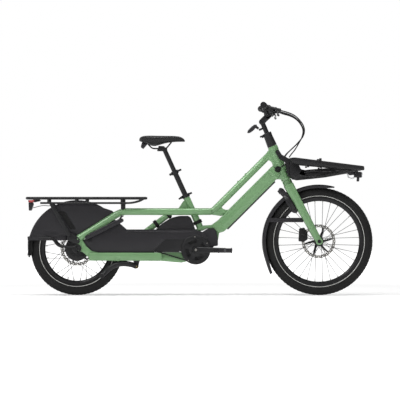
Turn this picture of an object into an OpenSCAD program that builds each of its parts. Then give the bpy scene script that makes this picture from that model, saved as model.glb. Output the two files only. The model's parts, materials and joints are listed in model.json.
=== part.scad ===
// Longtail cargo bicycle with a mid motor, a rear rack over a small rear wheel and a front carrier.
// +X is forward, +Z is up, -Y is the chain side, and z = 0 is the ground.
// Side-view points [x, z] are measured from the rear axle line and the ground.

/* [Wheels] */
// Distance between the axles
wheelbase = 1438; // [1430:1:1446]
// Outer radius of the rear tyre
rear_tyre_r = 275; // [274:0.5:276]
// Width of the rear tyre
rear_tyre_w = 72; // [66:1:74]
// Outer radius of the front tyre
front_tyre_r = 320; // [319:0.5:321]
// Width of the front tyre
front_tyre_w = 65; // [60:1:68]
// Bead seat radius of the rear rim
rear_bead_r = 203; // [202:0.5:204]
// Bead seat radius of the front rim
front_bead_r = 253.5; // [253:0.5:254]
// Spokes in each wheel
spoke_count = 32; // [16:16:32]

/* [Frame] */
// Radius of the twin main tubes
main_tube_r = 19; // [17:0.5:20]
// Half the distance between the twin main tubes
main_tube_y = 62; // [60:0.5:64]
// Height of the level part of the main tubes
main_tube_z = 497; // [495:1:499]
// Lean of the steering axis back from vertical
steer_tilt = 22.6; // [22:0.1:23]
// Outer radius of the head tube
head_tube_r = 28.5; // [28:0.5:30]
// Length of the head tube
head_tube_len = 218; // [214:1:222]
// Lean of the seat tube back from vertical
seat_tilt = 24.6; // [24:0.1:25]
// Width of the down tube
down_tube_w = 64; // [62:1:66]
// Depth of the down tube
down_tube_d = 74; // [72:1:76]

/* [Drive] */
// Teeth on the chainring
ring_teeth = 38; // [38:1:38]
// Teeth on the rear sprocket
sprocket_teeth = 22; // [22:1:22]
// Length of each crank arm, axis to axis
crank_len = 172; // [165:1:175]
// Distance from the middle plane to the chain
chain_y = 50; // [49:0.5:51]

/* [Posts and bars] */
// Radius of the handlebar post
bar_post_r = 14.3; // [14:0.1:14.3]
// Radius of the outer seat post
outer_post_r = 15.75; // [15.5:0.05:15.8]
// Radius of the inner seat post
inner_post_r = 13.6; // [13.4:0.1:13.7]
// Half the width of the handlebar
bar_half_w = 345; // [320:5:360]

/* [Carriers] */
// Half the width of the rear rack rails
rack_half_w = 80; // [76:1:84]
// Half the width of the front carrier deck
carrier_half_w = 170; // [150:5:190]

/* [Hidden] */
$fn = 48;

origin_x = 727;
run_gap = 0.06;
green = "darkseagreen";
black = "dimgray";
silver = "silver";

rear_axle = [0, rear_tyre_r];
front_axle = [wheelbase, front_tyre_r];
head_foot = [1245, 684];
seat_top = [648, 585];
crank_axis = [706, 271];
stand_pivot = [349, 174];
axle_r = 6;

chain_pitch = 12.7;
ring_r = chain_pitch / (2 * sin(180 / ring_teeth));
sprocket_r = chain_pitch / (2 * sin(180 / sprocket_teeth));
idler_r = 21;
idler_axis = [440, 249.4];
chain_half = 4.2;

// Geometry helpers ------------------------------------------------------------------------------
function at(p, y) = [p[0], y, p[1]];
function unit(v) = v / norm(v);
function polar(c, r, a) = [c[0] + r * cos(a), c[1] + r * sin(a)];
function arc(c, r, from, to, n) = [for (i = [0:n]) polar(c, r, from + (to - from) * i / n)];
function turn(a, b) = ((b - a + 540) % 360) - 180;
function fillet(a, b, c, r, n) = let (u = unit(a - b), w = unit(c - b), half = acos(u * w) / 2,
    o = b + unit(u + w) * r / sin(half), p = b + u * r / tan(half), q = b + w * r / tan(half),
    from = atan2(p[1] - o[1], p[0] - o[0]), to = atan2(q[1] - o[1], q[0] - o[0]))
    arc(o, r, from, from + turn(from, to), n);
function rounded(p, r, n = 5) = let (m = len(p))
    [for (i = [0:m - 1]) each fillet(p[(i + m - 1) % m], p[i], p[(i + 1) % m], r, n)];
// Angle of the outward normal of the line that touches two circles; a negative radius is outside
function touch(c1, r1, c2, r2, side) = let (d = c1 - c2)
    atan2(d[1], d[0]) + side * acos((r2 - r1) / norm(d));

module placed() translate([-origin_x, 0, 0]) children();
module both_sides() {
    children();
    mirror([0, 1, 0]) children();
}
// Flat piece from a side-view outline, between two Y values
module slab(y0, y1) translate([0, y1, 0]) rotate([90, 0, 0]) linear_extrude(y1 - y0) children();
module rod(a, b, r) {
    d = b - a;
    translate(a) rotate([0, acos(d[2] / norm(d)), atan2(d[1], d[0])]) cylinder(h = norm(d), r = r);
}
// Round tube along points, mitred at each inner point under a weld bead that covers the whole mitre
function half_bend(points, i) = acos(unit(points[i] - points[i - 1]) * unit(points[i + 1] - points[i])) / 2;
module pipe(points, r) {
    for (i = [0:len(points) - 2]) rod(points[i], points[i + 1], r);
    for (i = [1:len(points) - 2]) translate(points[i]) sphere(r = 1.08 * r / cos(half_bend(points, i)));
}
// Round bar along Y at a side-view point
module pin_y(p, y0, y1, r) translate([p[0], y1, p[1]]) rotate([90, 0, 0]) cylinder(h = y1 - y0, r = r);
module capsule(a, b, r) {
    n = unit([a[1] - b[1], b[0] - a[0]]) * r;
    polygon([a + n, b + n, b - n, a - n]);
    translate(a) circle(r = r);
    translate(b) circle(r = r);
}
// Ring about a wheel axle, from a section of radius against width
module spun(c) translate([c[0], 0, c[1]]) rotate([90, 0, 0]) rotate_extrude($fn = 96) children();
module steer_frame() translate([head_foot[0], 0, head_foot[1]]) rotate([0, -steer_tilt, 0]) children();
module seat_frame() translate([seat_top[0], 0, seat_top[1]]) rotate([0, -seat_tilt, 0]) children();

// Frame ------------------------------------------------------------------------------------------
down_foot = [830, 386];
down_len = 505;
battery_len = 400;
battery_start = 50;
down_angle = 45;
module down_frame() translate([down_foot[0], 0, down_foot[1]]) rotate([0, -down_angle, 0]) children();
down_bevel = 13;
module down_section() {
    w = down_tube_w / 2;
    d = down_tube_d / 2;
    polygon([[-d, -w], [d - down_bevel, -w], [d, down_bevel - w], [d, w - down_bevel],
        [d - down_bevel, w], [-d, w]]);
}
head_bore_r = 25.02;
top_path = [[770, 497], [800, 497], [829, 517], [1142, 830]];
head_gusset = [[1108, 796], [1140, 866], [1168, 868], [1216, 752], [1158, 748]];
chin_gusset = [[1140, 690], [1178, 686], [1200, 692], [1238, 684], [1222, 740]];
boss_mouths = [[998, 723], [954, 679]];
module front_triangle() color(green) placed() difference() {
    union() {
        steer_frame() cylinder(h = head_tube_len, r = head_tube_r);
        pipe([for (p = top_path) at(p, 0)], 20);
        difference() {
            slab(-16, 16) polygon(head_gusset);
            pin_y([1146, 782], -20, 20, 13);
            slab(-20, 20) polygon([[1146, 769], [1137, 791], [1090, 740], [1110, 730]]);
        }
        slab(-24, 24) polygon(chin_gusset);
        down_frame() rotate([90, 0, 90]) linear_extrude(down_len) rotate(90) down_section();
        rod(at([800, 495], 0), at([880, 495], 0), 15.5);
        rod(at([731, 398], 0), at([842, 405], 0), 17);
        for (boss = boss_mouths) rod(at(boss + [12, -12], 0), at(boss, 0), 4.5);
    }
    for (boss = boss_mouths) rod(at(boss + [7, -7], 0), at(boss + [-1, 1], 0), 2.1);
    steer_frame() translate([0, 0, -1]) cylinder(h = head_tube_len + 2, r = head_bore_r);
    down_frame() translate([battery_start - 1, -29, -down_tube_d / 2 - 1])
        cube([battery_len + 2, 58, 65]);
}

seat_bore_r = outer_post_r + run_gap;
module seat_tube() color(green) placed() difference() {
    union() {
        seat_frame() translate([0, 0, -222]) cylinder(h = 222, r = 20);
        rod([690, -main_tube_y, main_tube_z], [690, main_tube_y, main_tube_z], 15);
        slab(-9, 9) polygon([[603, 516], [700, 516], [672, 560], [632, 560]]);
    }
    seat_frame() translate([0, 0, -195]) cylinder(h = 200, r = seat_bore_r);
}

module main_tubes() color(green) placed() both_sides() pipe([[4, main_tube_y + 10, 333],
    [240, main_tube_y, 483], [276, main_tube_y, main_tube_z], [640, main_tube_y, main_tube_z],
    [784, 22.5, main_tube_z]], main_tube_r);

stay_in = 66;
stay_out = 88;
dropout_outline = [[-30, 330], [28, 338], [62, 290], [100, 256], [100, 205], [72, 208], [36, 250],
    [-4, 300]];
module chainstays() color(green) placed() both_sides() difference() {
    union() {
        slab(stay_in, stay_out) polygon(rounded([[84, 205], [84, 256], [500, 254], [500, 206]], 4));
        slab(69, 79) polygon(rounded(dropout_outline, 5));
        slab(69, 79) capsule(rear_axle, [48, 268], 17);
        translate([465, 28, 206]) cube([32, 42, 36]);
    }
    pin_y(rear_axle, 60, 90, axle_r + run_gap);
    pin_y([246, 218], 60, 90, 10);
}

module frame_yoke() color(green) placed() {
    both_sides() slab(24, 40) polygon(rounded([[470, 207], [470, 240], [600, 240], [622, 225],
        [640, 200], [622, 194]], 4));
    both_sides() slab(24, 38) polygon([[348, 222], [348, 342], [374, 342], [374, 222]]);
    rod([360, -stay_in - 4, 228], [360, stay_in + 4, 228], 9);
    rod([360, -38, 335], [360, 38, 335], 12);
    rod([560, -main_tube_y, main_tube_z], [560, main_tube_y, main_tube_z], 13);
    rod(at([366, 345], 0), at([556, 488], 0), 17.5);
    rod(at([640, 210], -24), at([640, 210], 24), 9);
}

motor_bore_r = 12 + run_gap;
motor_core = [[735, 295], [735, 372], [788, 372], [812, 345], [820, 298], [790, 262], [706, 240]];
motor_cover = [[745, 376], [775, 395], [815, 400], [826, 380], [837, 340], [838, 294], [752, 286]];
module motor_unit() color(black) placed() difference() {
    union() {
        pin_y(crank_axis, -34, 50, 62);
        pin_y(crank_axis, -42, 66, 24);
        slab(-33, 33) polygon(rounded(motor_core, 8));
        both_sides() slab(34, 42) polygon(rounded(motor_cover, 9));
        both_sides() slab(32, 35) polygon([[750, 300], [750, 365], [800, 340], [810, 300]]);
    }
    pin_y(crank_axis, -70, 70, motor_bore_r);
}

box_outline = [[475, 394], [560, 460], [608, 473], [660, 473], [676, 462], [704, 394]];
strut_tilt = atan2(190, 143);
module ring_on(p, tilt, inner, outer, h) translate([p[0], 0, p[1]]) rotate([0, tilt, 0])
    translate([0, 0, -h / 2]) difference() {
        cylinder(h = h, r = outer);
        translate([0, 0, -1]) cylinder(h = h + 2, r = inner);
    }
module frame_box() color(black) placed() {
    slab(-38, 38) polygon(rounded(box_outline, 7));
    ring_on([468, 421.8], strut_tilt, 17.52, 23, 20);
    ring_on([531, 469.2], strut_tilt, 17.52, 23, 14);
    ring_on([719, 430], -seat_tilt, 20.02, 25.5, 20);
}

case_outline = [[38, 322], [82, 259], [606, 259], [660, 271], [760, 318], [777, 344], [748, 376],
    [704, 390], [298, 390], [262, 422], [243, 446], [225, 448]];
case_hollow = [[48, 322], [87, 264], [604, 264], [660, 276], [755, 320], [770, 343], [745, 371],
    [704, 385], [296, 385], [258, 418], [240, 438], [226, 440]];
case_recess = [[530, 338], [446, 270], [452, 264], [604, 264], [640, 338]];
module chain_case() color(black) placed() difference() {
    slab(-65, -42) polygon(rounded(case_outline, 4));
    slab(-60, -41) polygon(rounded(case_hollow, 3));
    slab(-66, -63) polygon(rounded(case_recess, 4));
    pin_y(crank_axis, -70, -40, 66);
    slab(-60, -40) polygon([[-10, 200], [-10, 345], [62, 345], [104, 270], [700, 270], [700, 180]]);
    slab(-61, -40) polygon([[600, 240], [600, 350], [790, 360], [790, 240]]);
    slab(-59, -40) polygon([[100, 340], [400, 485], [200, 485]]);
}

// Two plate bands, one on each side of the teeth
function chain_loop(e) = let (top = touch(crank_axis, ring_r, rear_axle, sprocket_r, 1),
    front = touch(crank_axis, ring_r, idler_axis, -idler_r, -1),
    back = touch(idler_axis, -idler_r, rear_axle, sprocket_r, -1))
    concat(arc(crank_axis, ring_r + e, top, front, 24),
        arc(idler_axis, -idler_r + e, front, back, 5),
        arc(rear_axle, sprocket_r + e, back, top - 360, 16));
plate_gap = 3.6;
plate_w = 2.2;
module chain() color(silver) placed() for (y = [-plate_gap / 2 - plate_w, plate_gap / 2])
    slab(-chain_y + y, -chain_y + y + plate_w) difference() {
        polygon(chain_loop(chain_half));
        polygon(chain_loop(-chain_half));
    }

module toothed(r, teeth, w) linear_extrude(w) difference() {
    circle(r = r + 2.4);
    for (i = [0:teeth - 1]) rotate((i + 0.5) * 360 / teeth) translate([r + 0.9, 0]) circle(r = 4.1, $fn = 16);
}

module chain_idler() color(black) placed() difference() {
    pin_y(idler_axis, -chain_y - 1.4, -chain_y + 1.4, idler_r - 1);
    pin_y(idler_axis, -60, -40, 5 + run_gap);
}

// Battery -----------------------------------------------------------------------------------------
cover_t = 8;
module battery_pack() color(black) placed() down_frame() {
    translate([battery_start, -28.5, -down_tube_d / 2]) cube([battery_len, 57, 62]);
    translate([battery_start, -30, -down_tube_d / 2 - cover_t]) cube([battery_len, 60, cover_t]);
}

// Rear rack ---------------------------------------------------------------------------------------
rail_r = 8.5;
rail_z = 576.5;
rail_back = -295.5;
rail_front = 416;
low_rail_z = 548;
low_rail_y = 94;
cross_x = [-240, -184, -22, 84, 290, 400];
plate_x = [-100, 164];
plate_top = 584.4;
plate_hole_y = 50;
module rear_rack() color(black) placed() let ($fn = 20) {
    both_sides() pipe([[rail_back, 0, rail_z], [rail_back, rack_half_w - 30, rail_z],
        [rail_back + 30, rack_half_w, rail_z], [rail_front, rack_half_w, rail_z]], rail_r);
    for (x = cross_x) rod([x, -rack_half_w, rail_z + 1], [x, rack_half_w, rail_z + 1], 5);
    for (x = plate_x) difference() {
        translate([x - 17, -rack_half_w, plate_top - 5]) cube([34, 2 * rack_half_w, 5]);
        for (y = [-plate_hole_y, plate_hole_y]) translate([x, y, plate_top - 10]) cylinder(h = 20, r = 2.75);
    }
}
module rack_stays() color(black) placed() let ($fn = 20) {
    both_sides() {
        pipe([[-279, low_rail_y, low_rail_z], [325, low_rail_y, low_rail_z],
            [350, 90, 554], [380, rack_half_w + 2, 571]], 6);
        for (x = [-166, -2, 60, 268]) rod([x, low_rail_y, low_rail_z], [x, rack_half_w, rail_z], 5);
        rod([-270, low_rail_y, low_rail_z], [-270, rack_half_w, rail_z], 5);
        translate([259, main_tube_y, 540]) cube([17, low_rail_y - main_tube_y, 9]);
        rod([274, main_tube_y + 4, 508], [274, main_tube_y + 4, 573], 12);
        rod([-151, low_rail_y, 546], [-38, low_rail_y, 352], 10);
        slab(low_rail_y - 14, low_rail_y - 2) polygon(rounded([[-50, 368], [-24, 368], [20, 336],
            [14, 318], [-50, 326]], 5));
        pipe([[-221, 62, 343], [-143, 84, 343], [-107, 86, 289], [-10, 86, 289]], 7);
    }
}

fender_in = 286;
fender_out = 290;
skirt_y = 54;
skirt_floor = 326;
module rear_fender() color(black) placed() {
    translate([0, 0, rear_tyre_r]) rotate([90, 0, 0]) rotate([0, 0, 38]) rotate_extrude(angle = 146, $fn = 96)
        translate([fender_in, -skirt_y]) square([fender_out - fender_in, 2 * skirt_y]);
    both_sides() difference() {
        slab(skirt_y, skirt_y + 3) {
            intersection() {
                translate(rear_axle) circle(r = fender_out, $fn = 96);
                polygon([[-300, skirt_floor], [-30, skirt_floor], [-14, 349], [206, 498], [150, 570],
                    [-300, 570]]);
            }
            polygon([[60, 420], [60, 559], [100, 552], [146, 541], [206, 498], [150, 460]]);
        }
        slab(skirt_y + 1.5, skirt_y + 4) polygon(rounded([[-104, 496], [-72, 496], [-8, 396],
            [-38, 396]], 4));
    }
    both_sides() slab(skirt_y + 3, skirt_y + 11) polygon(rounded([[-288, 328], [-288, 351], [-54, 351],
        [-54, 328]], 4));
    both_sides() rod([-221, skirt_y + 10, 343], [-221, 62, 343], 6);
    slab(-34, 34) polygon([[-290, 262], [-290, 330], [-286, 330], [-280, 234], [-294, 228]]);
}

module tail_light() color("firebrick") placed() {
    translate([-290, -26, 553.5]) cube([36, 52, 13]);
    slab(-30, 30) polygon(rounded([[-287, 503], [-287, 553], [-262, 553], [-258, 540], [-270, 503]], 3));
}

module stand_bracket() color(black) placed() difference() {
    union() {
        both_sides() slab(44, 62) polygon(rounded([[337, 204.5], [371, 204.5], [362, 160], [336, 160]], 4));
        translate([337, -88, 198]) cube([34, 176, 6.8]);
    }
    pin_y(stand_pivot, -90, 90, 7 + run_gap);
}

leg_y = 74;
module centre_stand() color(black) placed() {
    pin_y(stand_pivot, -leg_y - 6, leg_y + 6, 7);
    both_sides() slab(leg_y - 8, leg_y + 4) union() {
        capsule(stand_pivot, [236, 176], 15);
        capsule([236, 176], [200, 162], 18);
        capsule([200, 162], [160, 126], 16);
    }
    both_sides() rod([178, leg_y, 142], [152, leg_y + 34, 120], 12);
    both_sides() slab(leg_y + 20, leg_y + 50) translate([150, 118]) circle(r = 15);
}

module footboard() {
    slab(92, 103) capsule([62, 344], [262, 444], 12);
    slab(92, 100) capsule([264, 448], [267, 470], 6);
}
module right_footboard() color(black) placed() mirror([0, 1, 0]) footboard();
module left_footboard() color(black) placed() footboard();

// Front carrier -----------------------------------------------------------------------------------
deck_back = [1262, 804];
deck_front = [1694, 752];
module carrier_bracket() color(black) placed() {
    both_sides() slab(32, 44) union() {
        capsule([1192, 850], [1210, 822], 13);
        capsule([1210, 822], [1250, 800], 15);
        polygon(rounded([[1236, 800], [1250, 716], [1288, 682], [1322, 736], [1312, 800]], 8));
    }
    rod([1300, -40, 702], [1300, 40, 702], 7);
    rod([1296, -40, 760], [1296, 40, 760], 8);
    both_sides() rod([1196, 22, 842], [1196, 40, 842], 8);
    both_sides() rod([1248, 16, 735], [1248, 40, 735], 8);
    both_sides() rod([1257, 38, 712], [1257, 50, 712], 8);
}

deck_drop = atan2(deck_back[1] - deck_front[1], deck_front[0] - deck_back[0]);
deck_len = norm(deck_front - deck_back);
slat_count = 6;
module deck_frame() translate([deck_back[0], 0, deck_back[1]]) rotate([0, deck_drop, 0]) children();
arm_outline = [[1324, 738], [1370, 746], [1505, 757], [1600, 752], [1624, 726], [1475, 700],
    [1386, 690], [1302, 683]];
lamp_pivot = [1662, 728];
module front_carrier() color(black) placed() {
    deck_frame() {
        both_sides() translate([0, carrier_half_w - 20, -14]) cube([deck_len, 20, 28]);
        for (i = [0:slat_count - 1]) translate([i * (deck_len - 26) / (slat_count - 1), -carrier_half_w + 20, 0])
            cube([26, 2 * carrier_half_w - 40, 12]);
        both_sides() translate([0, 30, -6]) cube([deck_len, 16, 6]);
        translate([178, -carrier_half_w + 4, 14]) cylinder(h = 14, r = 8);
    }
    both_sides() slab(46, 58) polygon(rounded(arm_outline, 5));
    both_sides() slab(24, 34) difference() {
        capsule(lamp_pivot, [1658, 752], 10);
        translate(lamp_pivot) circle(r = 5 + run_gap);
    }
    both_sides() rod([1560, 52, 745], [1560, 52, 768], 7);
    both_sides() rod([1340, 52, 730], [1340, 52, 795], 7);
}

module headlight() color(black) placed() {
    slab(-20, 20) polygon(rounded([[1644, 698], [1648, 732], [1692, 736], [1696, 696]], 5));
    slab(-5, 5) polygon([[1662, 674], [1662, 700], [1678, 700], [1676, 674]]);
    pin_y(lamp_pivot, -31, 31, 5);
}

cup_h = 12;
module headset_cups() color(silver) placed() steer_frame() for (z = [0, head_tube_len - cup_h])
    translate([0, 0, z]) difference() {
        cylinder(h = cup_h, r = 25);
        translate([0, 0, -1]) cylinder(h = cup_h + 2, r = 19 + run_gap);
    }

module rear_caliper() color(black) placed() difference() {
    slab(38, 60) polygon(rounded([[58, 296], [56, 338], [80, 350], [104, 330], [92, 292]], 6));
    slab(43.5, 50.5) translate(rear_axle) circle(r = 104, $fn = 96);
}

module rear_axle() color(silver) placed() {
    pin_y(rear_axle, -90, 90, axle_r);
    for (y = [-88, 80]) pin_y(rear_axle, y, y + 8, 12);
}

module seat_collar() color(black) placed() seat_frame() difference() {
    union() {
        translate([0, 0, -4]) cylinder(h = 20, r = 24);
        translate([-34, -7, 0]) cube([16, 14, 14]);
        translate([16, -6, 2]) cube([26, 12, 9]);
    }
    translate([0, 0, -5]) cylinder(h = 5, r = 20.02);
    translate([0, 0, -6]) cylinder(h = 30, r = seat_bore_r);
}

// Wheels ------------------------------------------------------------------------------------------
rim_flange = 9;
module tyre_section(outer, w, bead) {
    mid = outer - w / 2;
    difference() {
        translate([mid, 0]) circle(r = w / 2, $fn = 64);
        translate([mid, 0]) circle(r = w / 2 - 4.5, $fn = 64);
        translate([0, -w]) square([bead + rim_flange, 2 * w]);
    }
}
module rim_section(bead, half) difference() {
    translate([bead - 14, -half]) square([14 + rim_flange, 2 * half]);
    translate([bead, -half + 3]) square([rim_flange + 1, 2 * half - 6]);
    translate([bead - 11, -half + 3]) square([8, 2 * half - 6]);
}
module tyre(c, outer, w, bead) spun(c) tyre_section(outer, w, bead);
// Spokes leave alternate faces of the flange, so that crossing spokes pass clear of each other
module spokes(c, flange_r, flange_y, rim_r) translate([c[0], 0, c[1]])
    for (i = [0:spoke_count - 1]) {
        side = i % 2 == 0 ? 1 : -1;
        lean = floor(i / 2) % 2 == 0 ? 38 : -38;
        a = (i + 0.5) * 360 / spoke_count;
        head_y = side * (flange_y + (lean > 0 ? 2.6 : -2.6));
        rod([flange_r * cos(a + lean), head_y, flange_r * sin(a + lean)],
            [rim_r * cos(a), side * 3, rim_r * sin(a)], 1);
    }

module rear_tyre() color(black) placed() tyre(rear_axle, rear_tyre_r, rear_tyre_w, rear_bead_r);
module rear_rim() color(black) placed() spun(rear_axle) rim_section(rear_bead_r, 19);
module rear_spokes() color(silver) placed() spokes(rear_axle, 66, 26, rear_bead_r - 13.5);
rotor_r = 101.5;
module rotor(c, y) slab(y, y + 2) translate(c) difference() {
    union() {
        difference() {
            circle(r = rotor_r, $fn = 96);
            circle(r = rotor_r - 19, $fn = 96);
        }
        for (i = [0:5]) rotate(i * 60) translate([18, -5]) square([70, 10]);
        circle(r = 26);
    }
    circle(r = 12);
}
module rear_hub() color(black) placed() {
    difference() {
        union() {
            pin_y(rear_axle, -28, 28, 71);
            pin_y(rear_axle, -40, 44, 36);
            pin_y(rear_axle, 40, 62, 13);
        }
        pin_y(rear_axle, -70, 70, axle_r + run_gap);
    }
    rotor(rear_axle, 46);
}
module rear_sprocket() color(silver) placed() translate([rear_axle[0], -chain_y + 1.1, rear_axle[1]])
    rotate([90, 0, 0]) difference() {
        union() {
            toothed(sprocket_r, sprocket_teeth, 2.2);
            translate([0, 0, -4]) cylinder(h = 18, r = 13);
        }
        translate([0, 0, -10]) cylinder(h = 40, r = axle_r + run_gap);
    }

front_leg_y = 48;
module front_tyre() color(black) placed() tyre(front_axle, front_tyre_r, front_tyre_w, front_bead_r);
module front_rim() color(black) placed() spun(front_axle) rim_section(front_bead_r, 17);
module front_spokes() color(silver) placed() spokes(front_axle, 24, 24, front_bead_r - 13.5);
module front_hub() color(black) placed() {
    difference() {
        union() {
            pin_y(front_axle, -42, 36, 15);
            for (y = [-27, 22]) pin_y(front_axle, y, y + 5, 29);
            pin_y(front_axle, 30, 44, 20);
        }
        pin_y(front_axle, -60, 60, axle_r + run_gap);
    }
    rotor(front_axle, 38);
}

// Crank set ---------------------------------------------------------------------------------------
guard_r = 88;
module chainring() color(black) placed() {
    translate([crank_axis[0], -chain_y + 1, crank_axis[1]]) rotate([90, 0, 0]) difference() {
        toothed(ring_r, ring_teeth, 2);
        translate([0, 0, -1]) cylinder(h = 10, r = 56);
    }
    difference() {
        union() {
            pin_y(crank_axis, -70, -67, guard_r);
            for (i = [0:3]) pin_y(polar(crank_axis, 60, 45 + i * 90), -68, -chain_y + 0.9, 5);
        }
        for (i = [0:3]) slab(-71, -66) {
            capsule(polar(crank_axis, 48, i * 90 - 14), polar(crank_axis, 48, i * 90 + 14), 8);
        }
        pin_y(crank_axis, -72, -60, 12 + run_gap);
    }
}
module crank_arm(side) {
    tip = crank_axis + [side * crank_len, -side * 3];
    difference() {
        union() {
            slab(72, 84) capsule(crank_axis, tip, 14);
            pin_y(crank_axis, 71, 86, 19);
        }
        pin_y(tip, 60, 100, 7);
    }
}
module crank_arms() color(black) placed() {
    mirror([0, 1, 0]) crank_arm(1);
    crank_arm(-1);
    pin_y(crank_axis, -80, 80, 12);
}
module pedal(side) {
    tip = crank_axis + [side * crank_len, -side * 3];
    pin_y(tip, 70, 92, 7 - run_gap);
    pin_y(tip, 88, 190, 8);
    difference() {
        slab(92, 188) polygon(rounded([tip + [-43, -14], tip + [-43, 14], tip + [43, 14], tip + [43, -14]], 6));
        for (x = [-26, 26], y = [108, 148]) translate([tip[0] + x - 11, y, tip[1] - 20]) cube([22, 28, 40]);
    }
}
module right_pedal() color(black) placed() mirror([0, 1, 0]) pedal(1);
module left_pedal() color(black) placed() pedal(-1);

// Fork and steering -------------------------------------------------------------------------------
steerer_r = 19;
function to_steer(p) = let (d = p - head_foot, c = cos(steer_tilt), w = sin(steer_tilt))
    [d[0] * c + d[1] * w, d[1] * c - d[0] * w];
fork_tip = to_steer(front_axle);
post_bore_r = bar_post_r + run_gap;
module fork() color(green) placed() steer_frame() difference() {
    union() {
        translate([0, 0, -14]) cylinder(h = 262, r = steerer_r);
        translate([0, 0, -30]) cylinder(h = 29, r = 28.5);
        translate([-28, -72, -56]) cube([58, 144, 30]);
        both_sides() slab(front_leg_y, front_leg_y + 24) union() {
            polygon([[-28, -30], [30, -30], [fork_tip[0] + 21, fork_tip[1]], [fork_tip[0] - 21, fork_tip[1]]]);
            translate(fork_tip) circle(r = 21);
        }
    }
    translate([0, 0, 40]) cylinder(h = 260, r = post_bore_r);
    translate([fork_tip[0], 100, fork_tip[1]]) rotate([90, 0, 0]) cylinder(h = 200, r = axle_r + run_gap);
}
module front_axle() color(silver) placed() {
    pin_y(front_axle, -76, 76, axle_r);
    for (y = [-78, 72.3]) pin_y(front_axle, y, y + 5.7, 11);
}

front_fender_in = 334;
front_fender_out = 338;
module front_fender() color(black) placed() {
    translate([front_axle[0], 0, front_axle[1]]) rotate([90, 0, 0]) rotate([0, 0, 74])
        rotate_extrude(angle = 140, $fn = 96) difference() {
            translate([front_fender_in - 12, -38]) square([front_fender_out - front_fender_in + 12, 76]);
            translate([front_fender_in - 13, -36]) square([13, 72]);
        }
    both_sides() slab(41, 45) polygon([[1128, 435], [1128, 459], [1338, 459], [1345, 435]]);
    both_sides() rod([1134, 37, 447], [1134, 44, 447], 6);
    both_sides() rod([1336, 42, 447], [1336, 50, 447], 5);
}

module front_caliper() color(black) placed() difference() {
    slab(30, 47.7) polygon(rounded([[1318, 320], [1322, 396], [1352, 402], [1372, 372], [1372, 330],
        [1350, 316]], 6));
    slab(36.5, 41.5) translate(front_axle) circle(r = 104, $fn = 96);
}

lock_lean = atan2(222, 292);
lock_centre = front_axle + 285 * [-sin(lock_lean), cos(lock_lean)];
lock_in = 67;
lock_out = 80;
lock_half = 8;
slot_r = 70;
module lock_frame() translate([lock_centre[0], 0, lock_centre[1]]) rotate([0, -lock_lean, 0])
    rotate([0, 90, 0]) children();
module lock_arc(from, sweep) rotate([0, 0, from]) rotate_extrude(angle = sweep, $fn = 96)
    translate([lock_in, -lock_half]) square([lock_out - lock_in, 2 * lock_half]);
module ring_lock() color(black) placed() lock_frame() {
    difference() {
        union() {
            lock_arc(60, 240);
            translate([-102, -24, -16]) cube([24, 48, 32]);
        }
        rotate([0, 0, 58]) rotate_extrude(angle = 92, $fn = 96) translate([slot_r, -3.5]) square([7, 7]);
    }
}
module lock_bolt() color(silver) placed() lock_frame() rotate([0, 0, 62]) rotate_extrude(angle = 60, $fn = 96)
    translate([slot_r + 0.5, -3]) square([6, 6]);

module steerer_collar() color(black) placed() steer_frame() difference() {
    union() {
        translate([0, 0, head_tube_len + 0.6]) cylinder(h = 74, r1 = 28.5, r2 = 24.5, $fn = 64);
        translate([0, 0, head_tube_len + 74]) cylinder(h = 12, r = 23);
        translate([-34, -7, head_tube_len + 73]) cube([18, 14, 12]);
    }
    translate([0, 0, head_tube_len - 2]) cylinder(h = 32, r = 19.02);
    translate([0, 0, head_tube_len - 2]) cylinder(h = 100, r = post_bore_r);
}
module quick_lever(z) translate([-40, -8, z]) {
    cylinder(h = 10, r = 5);
    translate([-3.5, 0, 2]) cube([7, 52, 6]);
    translate([0, 52, 1]) cylinder(h = 8, r = 6);
}
module collar_lever() color(black) placed() steer_frame() quick_lever(head_tube_len + 74);
module seat_lever() color(black) placed() seat_frame() quick_lever(1);

post_top = 376;
module handlebar_post() color(black) placed() steer_frame() {
    translate([0, 0, 190]) cylinder(h = post_top - 190 - 12, r = bar_post_r);
    translate([0, -16, post_top]) rotate([-90, 0, 0]) cylinder(h = 32, r = 14);
    translate([-40, -5, 338]) cube([30, 10, 8]);
}
stem_pivot = [1100, 1031];
bar_clamp = [1154, 1085];
module stem() color(black) placed() difference() {
    union() {
        both_sides() slab(16.4, 24) capsule(stem_pivot, bar_clamp, 18);
        slab(-24, 24) capsule([1136, 1067], bar_clamp, 20);
    }
    pin_y(bar_clamp, -30, 30, 15.9);
}
bar_path = [[1154, 48, 1085], [1136, 125, 1102], [1112, 200, 1116], [1100, bar_half_w, 1120]];
module handlebar() color(black) placed() {
    pin_y(bar_clamp, -60, 60, 15.85);
    both_sides() pipe(bar_path, 11);
}
grip_line = unit(bar_path[3] - bar_path[2]);
module grips() color(black) placed() both_sides() difference() {
    rod(bar_path[2] + 16 * grip_line, bar_path[3] + 4 * grip_line, 20);
    rod(bar_path[2] + 4 * grip_line, bar_path[3], 11.03);
}
lever_pin = [1172, 188, 1082];
lever_axis = [0.6, 0, 0.8];
module lever_clamps() color(black) placed() both_sides() difference() {
    union() {
        rod([1120, 178, 1110], [1117, 192, 1112], 17);
        rod([1120, 183, 1110], [1205, 160, 1094], 11);
        for (k = [-12, 12]) rod(lever_pin + (k - 3) * lever_axis, lever_pin + (k + 3) * lever_axis, 7);
        rod(lever_pin - 15 * lever_axis + [4, -12, 3], lever_pin + 15 * lever_axis + [4, -12, 3], 6);
    }
    pipe(bar_path, 11.03);
    rod(lever_pin - 8.6 * lever_axis, lever_pin + 8.6 * lever_axis, 7.4);
    rod(lever_pin - 8.6 * lever_axis + [0, 12, 0], lever_pin + 8.6 * lever_axis + [0, 12, 0], 10);
}
module brake_lever() {
    pipe([lever_pin, [1180, 240, 1072], [1186, 310, 1060]], 5);
    rod(lever_pin - 8 * lever_axis, lever_pin + 8 * lever_axis, 6);
}
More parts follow.
